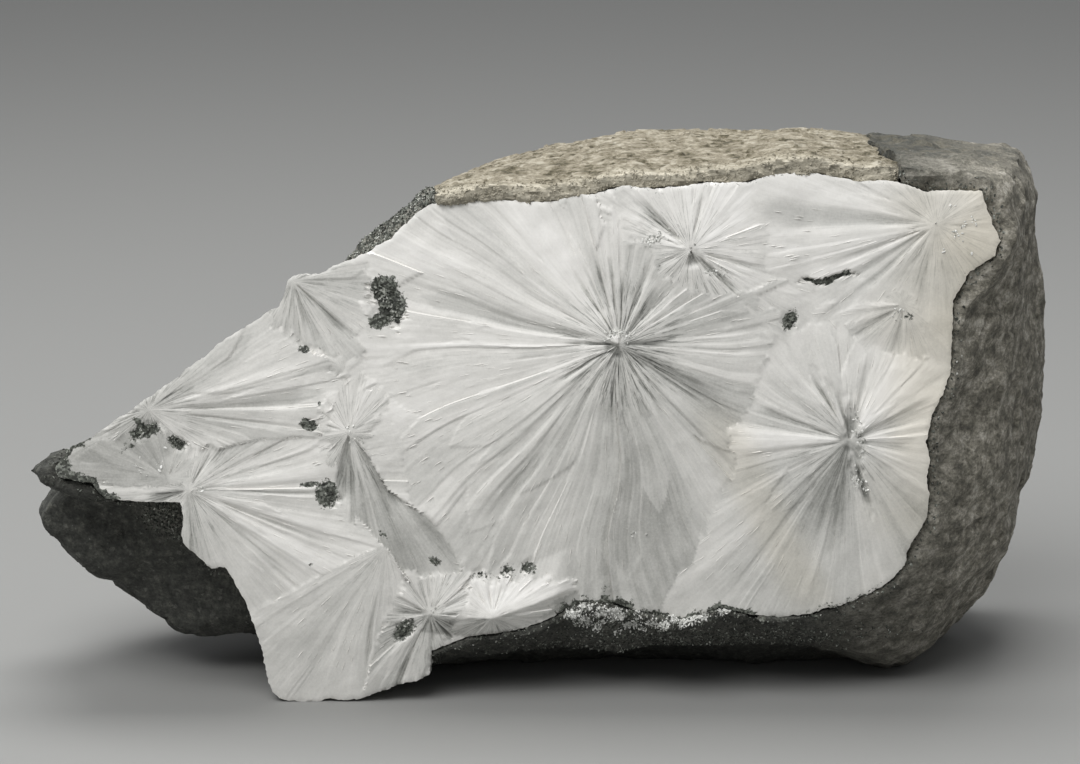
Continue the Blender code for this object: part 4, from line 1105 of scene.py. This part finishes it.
def grains_tree():
    """Angular grains scattered over a surface, thicker where its mark is high."""
    tree, add, given = start_tree("scattered grains", {
        "Mark": "", "Grains per m2": 1e6, "Grain size": 0.0005, "Seed": SEED,
    })
    turned, squashed = (
        add(PICK, {0: least, 1: most, "Seed": given["Seed"]}, data_type="FLOAT_VECTOR")
        for least, most in (((0, 0, 0), (6.28, 6.28, 6.28)), ((0.3, 0.35, 0.25), (2.2, 1.3, 0.9)))
    )
    tone = add(PICK, {2: 0.35, 3: 0.95, "Seed": given["Seed"]}, data_type="FLOAT")
    lay(add, given, tone, {
        "Points": scatter(add, given, given["Mark"], given["Grains per m2"]),
        "Instance": add("GeometryNodeMeshIcoSphere", {"Radius": 0.5, "Subdivisions": 1}),
        "Rotation": turned,
        "Scale": add(VECTOR_MATH, {0: squashed, "Scale": given["Grain size"]}, operation="SCALE"),
    })
    return tree


def splinters_tree():
    """Slender crystals that lie along the fibres of a face, each lifted a little at one end."""
    tree, add, given = start_tree("fibre splinters", {
        "Splinters per m2": 1e6, "Shortest": 0.0015, "Longest": 0.006, "Thinnest": 0.0001,
        "Thickest": 0.0003, "Aside": 0.1, "Lift": 0.05, "Seed": SEED, "Splinter": bpy.types.Object,
    })
    spots = scatter(add, given, "splinters here", given["Splinters per m2"])
    run = add(STORED, ["run"], data_type="FLOAT_VECTOR")
    along = add("FunctionNodeAlignRotationToVector", {"Vector": run}, axis="X")
    facing = add("FunctionNodeAlignRotationToVector", {"Rotation": along, "Vector": spots.outputs["Normal"]},
                 axis="Z", pivot_axis="X")
    back, down = (add(MATH, [given[most], -1], operation="MULTIPLY") for most in ("Aside", "Lift"))
    aside, lift, length, width, spread = (
        add(PICK, {2: least, 3: most, "Seed": given["Seed"]}, data_type="FLOAT")
        for least, most in (
            (back, given["Aside"]), (down, given["Lift"]), (given["Shortest"], given["Longest"]),
            (given["Thinnest"], given["Thickest"]), (-0.08, 0.17),
        )
    )
    swing = add("ShaderNodeCombineXYZ", {"Y": lift, "Z": aside})
    near = add(STORED, ["tone"], data_type="FLOAT")
    lay(add, given, add(MATH, [near, spread], operation="ADD"), {
        "Points": spots,
        "Instance": add("GeometryNodeObjectInfo", [given["Splinter"]]).outputs["Geometry"],
        "Rotation": add("FunctionNodeRotateRotation", [facing, swing], rotation_space="LOCAL"),
        "Scale": add("ShaderNodeCombineXYZ", {"X": length, "Y": width, "Z": width}),
    })
    return tree


def splinter_shape():
    """One splinter, one unit long and wide: a low roof with pointed ends."""
    corners = (
        (-0.5, 0, 0.1), (-0.3, -0.5, -0.3), (-0.3, 0, 0.5), (-0.3, 0.5, -0.3),
        (0.25, -0.4, -0.3), (0.25, 0, 0.4), (0.25, 0.4, -0.3), (0.5, 0, -0.1),
    )
    faces = (
        (0, 2, 1), (0, 3, 2), (0, 1, 3), (1, 2, 5, 4), (2, 3, 6, 5), (3, 1, 4, 6), (7, 4, 5), (7, 5, 6),
        (7, 6, 4),
    )
    mesh = bpy.data.meshes.new("splinter")
    mesh.from_pydata(corners, [], faces)
    layer = mesh.uv_layers.new(name="fibres")
    for loop in mesh.loops:
        x, y, _ = corners[loop.vertex_index]
        layer.data[loop.index].uv = (y * 0.01, x * 0.04)
    return add_piece("splinter", mesh)


# --- pieces ---


def stand_for(slot, node, *pieces):
    """Puts the pieces in the place of one of the part's nodes. The slot is not used."""
    for piece in pieces:
        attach(piece, "root")
        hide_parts(node)


def make_light(name, place, size, power, tint, aim=(0, -0.02, 0.045)):
    """A flat light, in metres and watts, aimed at the middle of the block unless told otherwise."""
    data = bpy.data.lights.new(name, "AREA")
    data.shape = "RECTANGLE"
    data.size, data.size_y = size
    data.energy = power
    data.color = colour(tint)[:3]
    light = add_piece(name, data)
    light.location = place
    light.rotation_euler = (Vector(aim) - Vector(place)).to_track_quat("-Z", "Y").to_euler()


def make_stage():
    """The camera, the light and the floor."""
    data = bpy.data.cameras.new("camera")
    data.lens, data.sensor_width = LENS, SENSOR
    data.clip_start = 0.01
    camera = add_piece("camera", data)
    back, up = CAMERA_DISTANCE * math.cos(CAMERA_RISE), CAMERA_DISTANCE * math.sin(CAMERA_RISE)
    camera.location = Vector((LOOK_AT[0], LOOK_AT[1] - back, LOOK_AT[2] + up)) * MM
    camera.rotation_euler = (math.pi / 2 - CAMERA_RISE, 0, 0)
    scene.camera = camera
    scene.world = bpy.data.worlds.new("studio")
    scene.world.use_nodes = True
    fill(scene.world.node_tree.nodes["Background"], {"Color": colour(SKY), "Strength": SKY_STRENGTH})
    make_light("softbox above", (-0.26, -0.46, 0.72), (0.7, 0.5), 7.2, "#ffffff")
    make_light("softbox over the top", (0, 0.14, 0.75), (0.5, 0.3), 4.5, "#ffffff", (0, 0, 0))
    make_light("light on the floor behind", (0, 1.30, 0.8), (1.6, 0.6), 1.7, "#fbfcff", (0, 1.10, 0))
    shape = bmesh.new()
    bmesh.ops.create_grid(shape, x_segments=1, y_segments=1, size=FLOOR_HALF)
    mesh = bpy.data.meshes.new("floor")
    shape.to_mesh(mesh)
    shape.free()
    mesh.materials.append(floor_material())
    add_piece("floor", mesh)
    scene.view_settings.view_transform = "Standard"


def main():
    make_stage()
    white, rock, rind, pepper = pectolite_material(), basalt_material(), rind_material(), speckled_material()
    crushed = crumb_material()
    rough, grains, splinters = rock_tree(), grains_tree(), splinters_tree()

    mesh, rim = vein_mesh()
    mesh.materials.append(white)
    soften(mesh, 50)
    vein = add_piece("pectolite_vein_fibres", mesh)
    splinter = splinter_shape()
    raised = grow("pectolite_splinters", mesh, splinters, {
        "Splinters per m2": 1.8e5, "Shortest": 0.0008, "Longest": 0.0030, "Thinnest": 0.00006,
        "Thickest": 0.00014, "Aside": 0.06, "Lift": 0.018, "Splinter": splinter, "Material": white,
    })
    bpy.data.objects.remove(splinter)
    raised.data.shade_flat()
    crumbs = grow("pectolite_crumbs", mesh, grains, {
        "Mark": "crumbs here", "Grains per m2": 1.2e7, "Grain size": 0.00040, "Material": crushed,
    })
    stand_for("pectolite", "pectolite_vein", vein, raised, crumbs)

    block = grow("basalt_block_break", copy_of_node("basalt_matrix"), rough, {
        "Swell": 0.0001, "Lump size": 0.012, "Lump height": 0.0014, "Chip size": 0.0036,
        "Chip height": 0.0006, "Step height": 0.0004, "Grain size": 0.0022, "Grain height": 0.0005,
        "Material": rock,
    }, voxel=0.00075)
    wear_rim(block.data)
    soften(block.data, 35)
    mark_rock(block.data, rim, HOLLOW, 2)
    contact = grow("rim_grains", block.data, grains, {
        "Mark": "rim here", "Grains per m2": 1.1e7, "Grain size": 0.00045, "Seed": SEED + 1,
        "Material": pepper,
    })
    stand_for("basalt", "basalt_matrix", block, contact)
    spilled = grow("spilled_crumbs", block.data, grains, {
        "Mark": "spilled here", "Grains per m2": 1.6e7, "Grain size": 0.00042, "Seed": SEED + 2,
        "Material": crushed,
    })
    stand_for("pectolite", "pectolite_vein", spilled)

    crust = grow("rind_flakes", copy_of_node("weathered_crust"), rough, {
        "Stretch": (0.5, 0.8, 1.2), "Swell": 0.00020, "Lump size": 0.004, "Lump height": 0.0009,
        "Chip size": 0.0011, "Chip height": 0.0004, "Step height": 0.0005, "Grain size": 0.0006,
        "Grain height": 0.0004, "Material": rind,
    }, voxel=0.0004)
    soften(crust.data, 35)
    mark_rock(crust.data, rim, HOLLOW[:1], 3.4)
    flakes = grow("rind_crumbs", crust.data, grains, {
        "Mark": "rim here", "Grains per m2": 2.0e7, "Grain size": 0.00045, "Seed": SEED + 3,
        "Material": rind,
    })
    stand_for("weathered_rind", "weathered_crust", crust, flakes)

    for node, place in CHIPS.items():
        sunk = CHIP_SUNK * MM + CHIP_HIDDEN * MM * (1 - place[5])
        core = grow(node + "_core", copy_of_node(node), rough, {
            "Swell": -sunk, "Lump size": 0.0012, "Lump height": 0.0008, "Chip size": 0.0007,
            "Chip height": 0.0004, "Step height": 0.0004, "Grain size": 0.0004, "Grain height": 0.0003,
            "Material": pepper,
        }, voxel=0.00025)
        stand_for("basalt", node, core)


main()
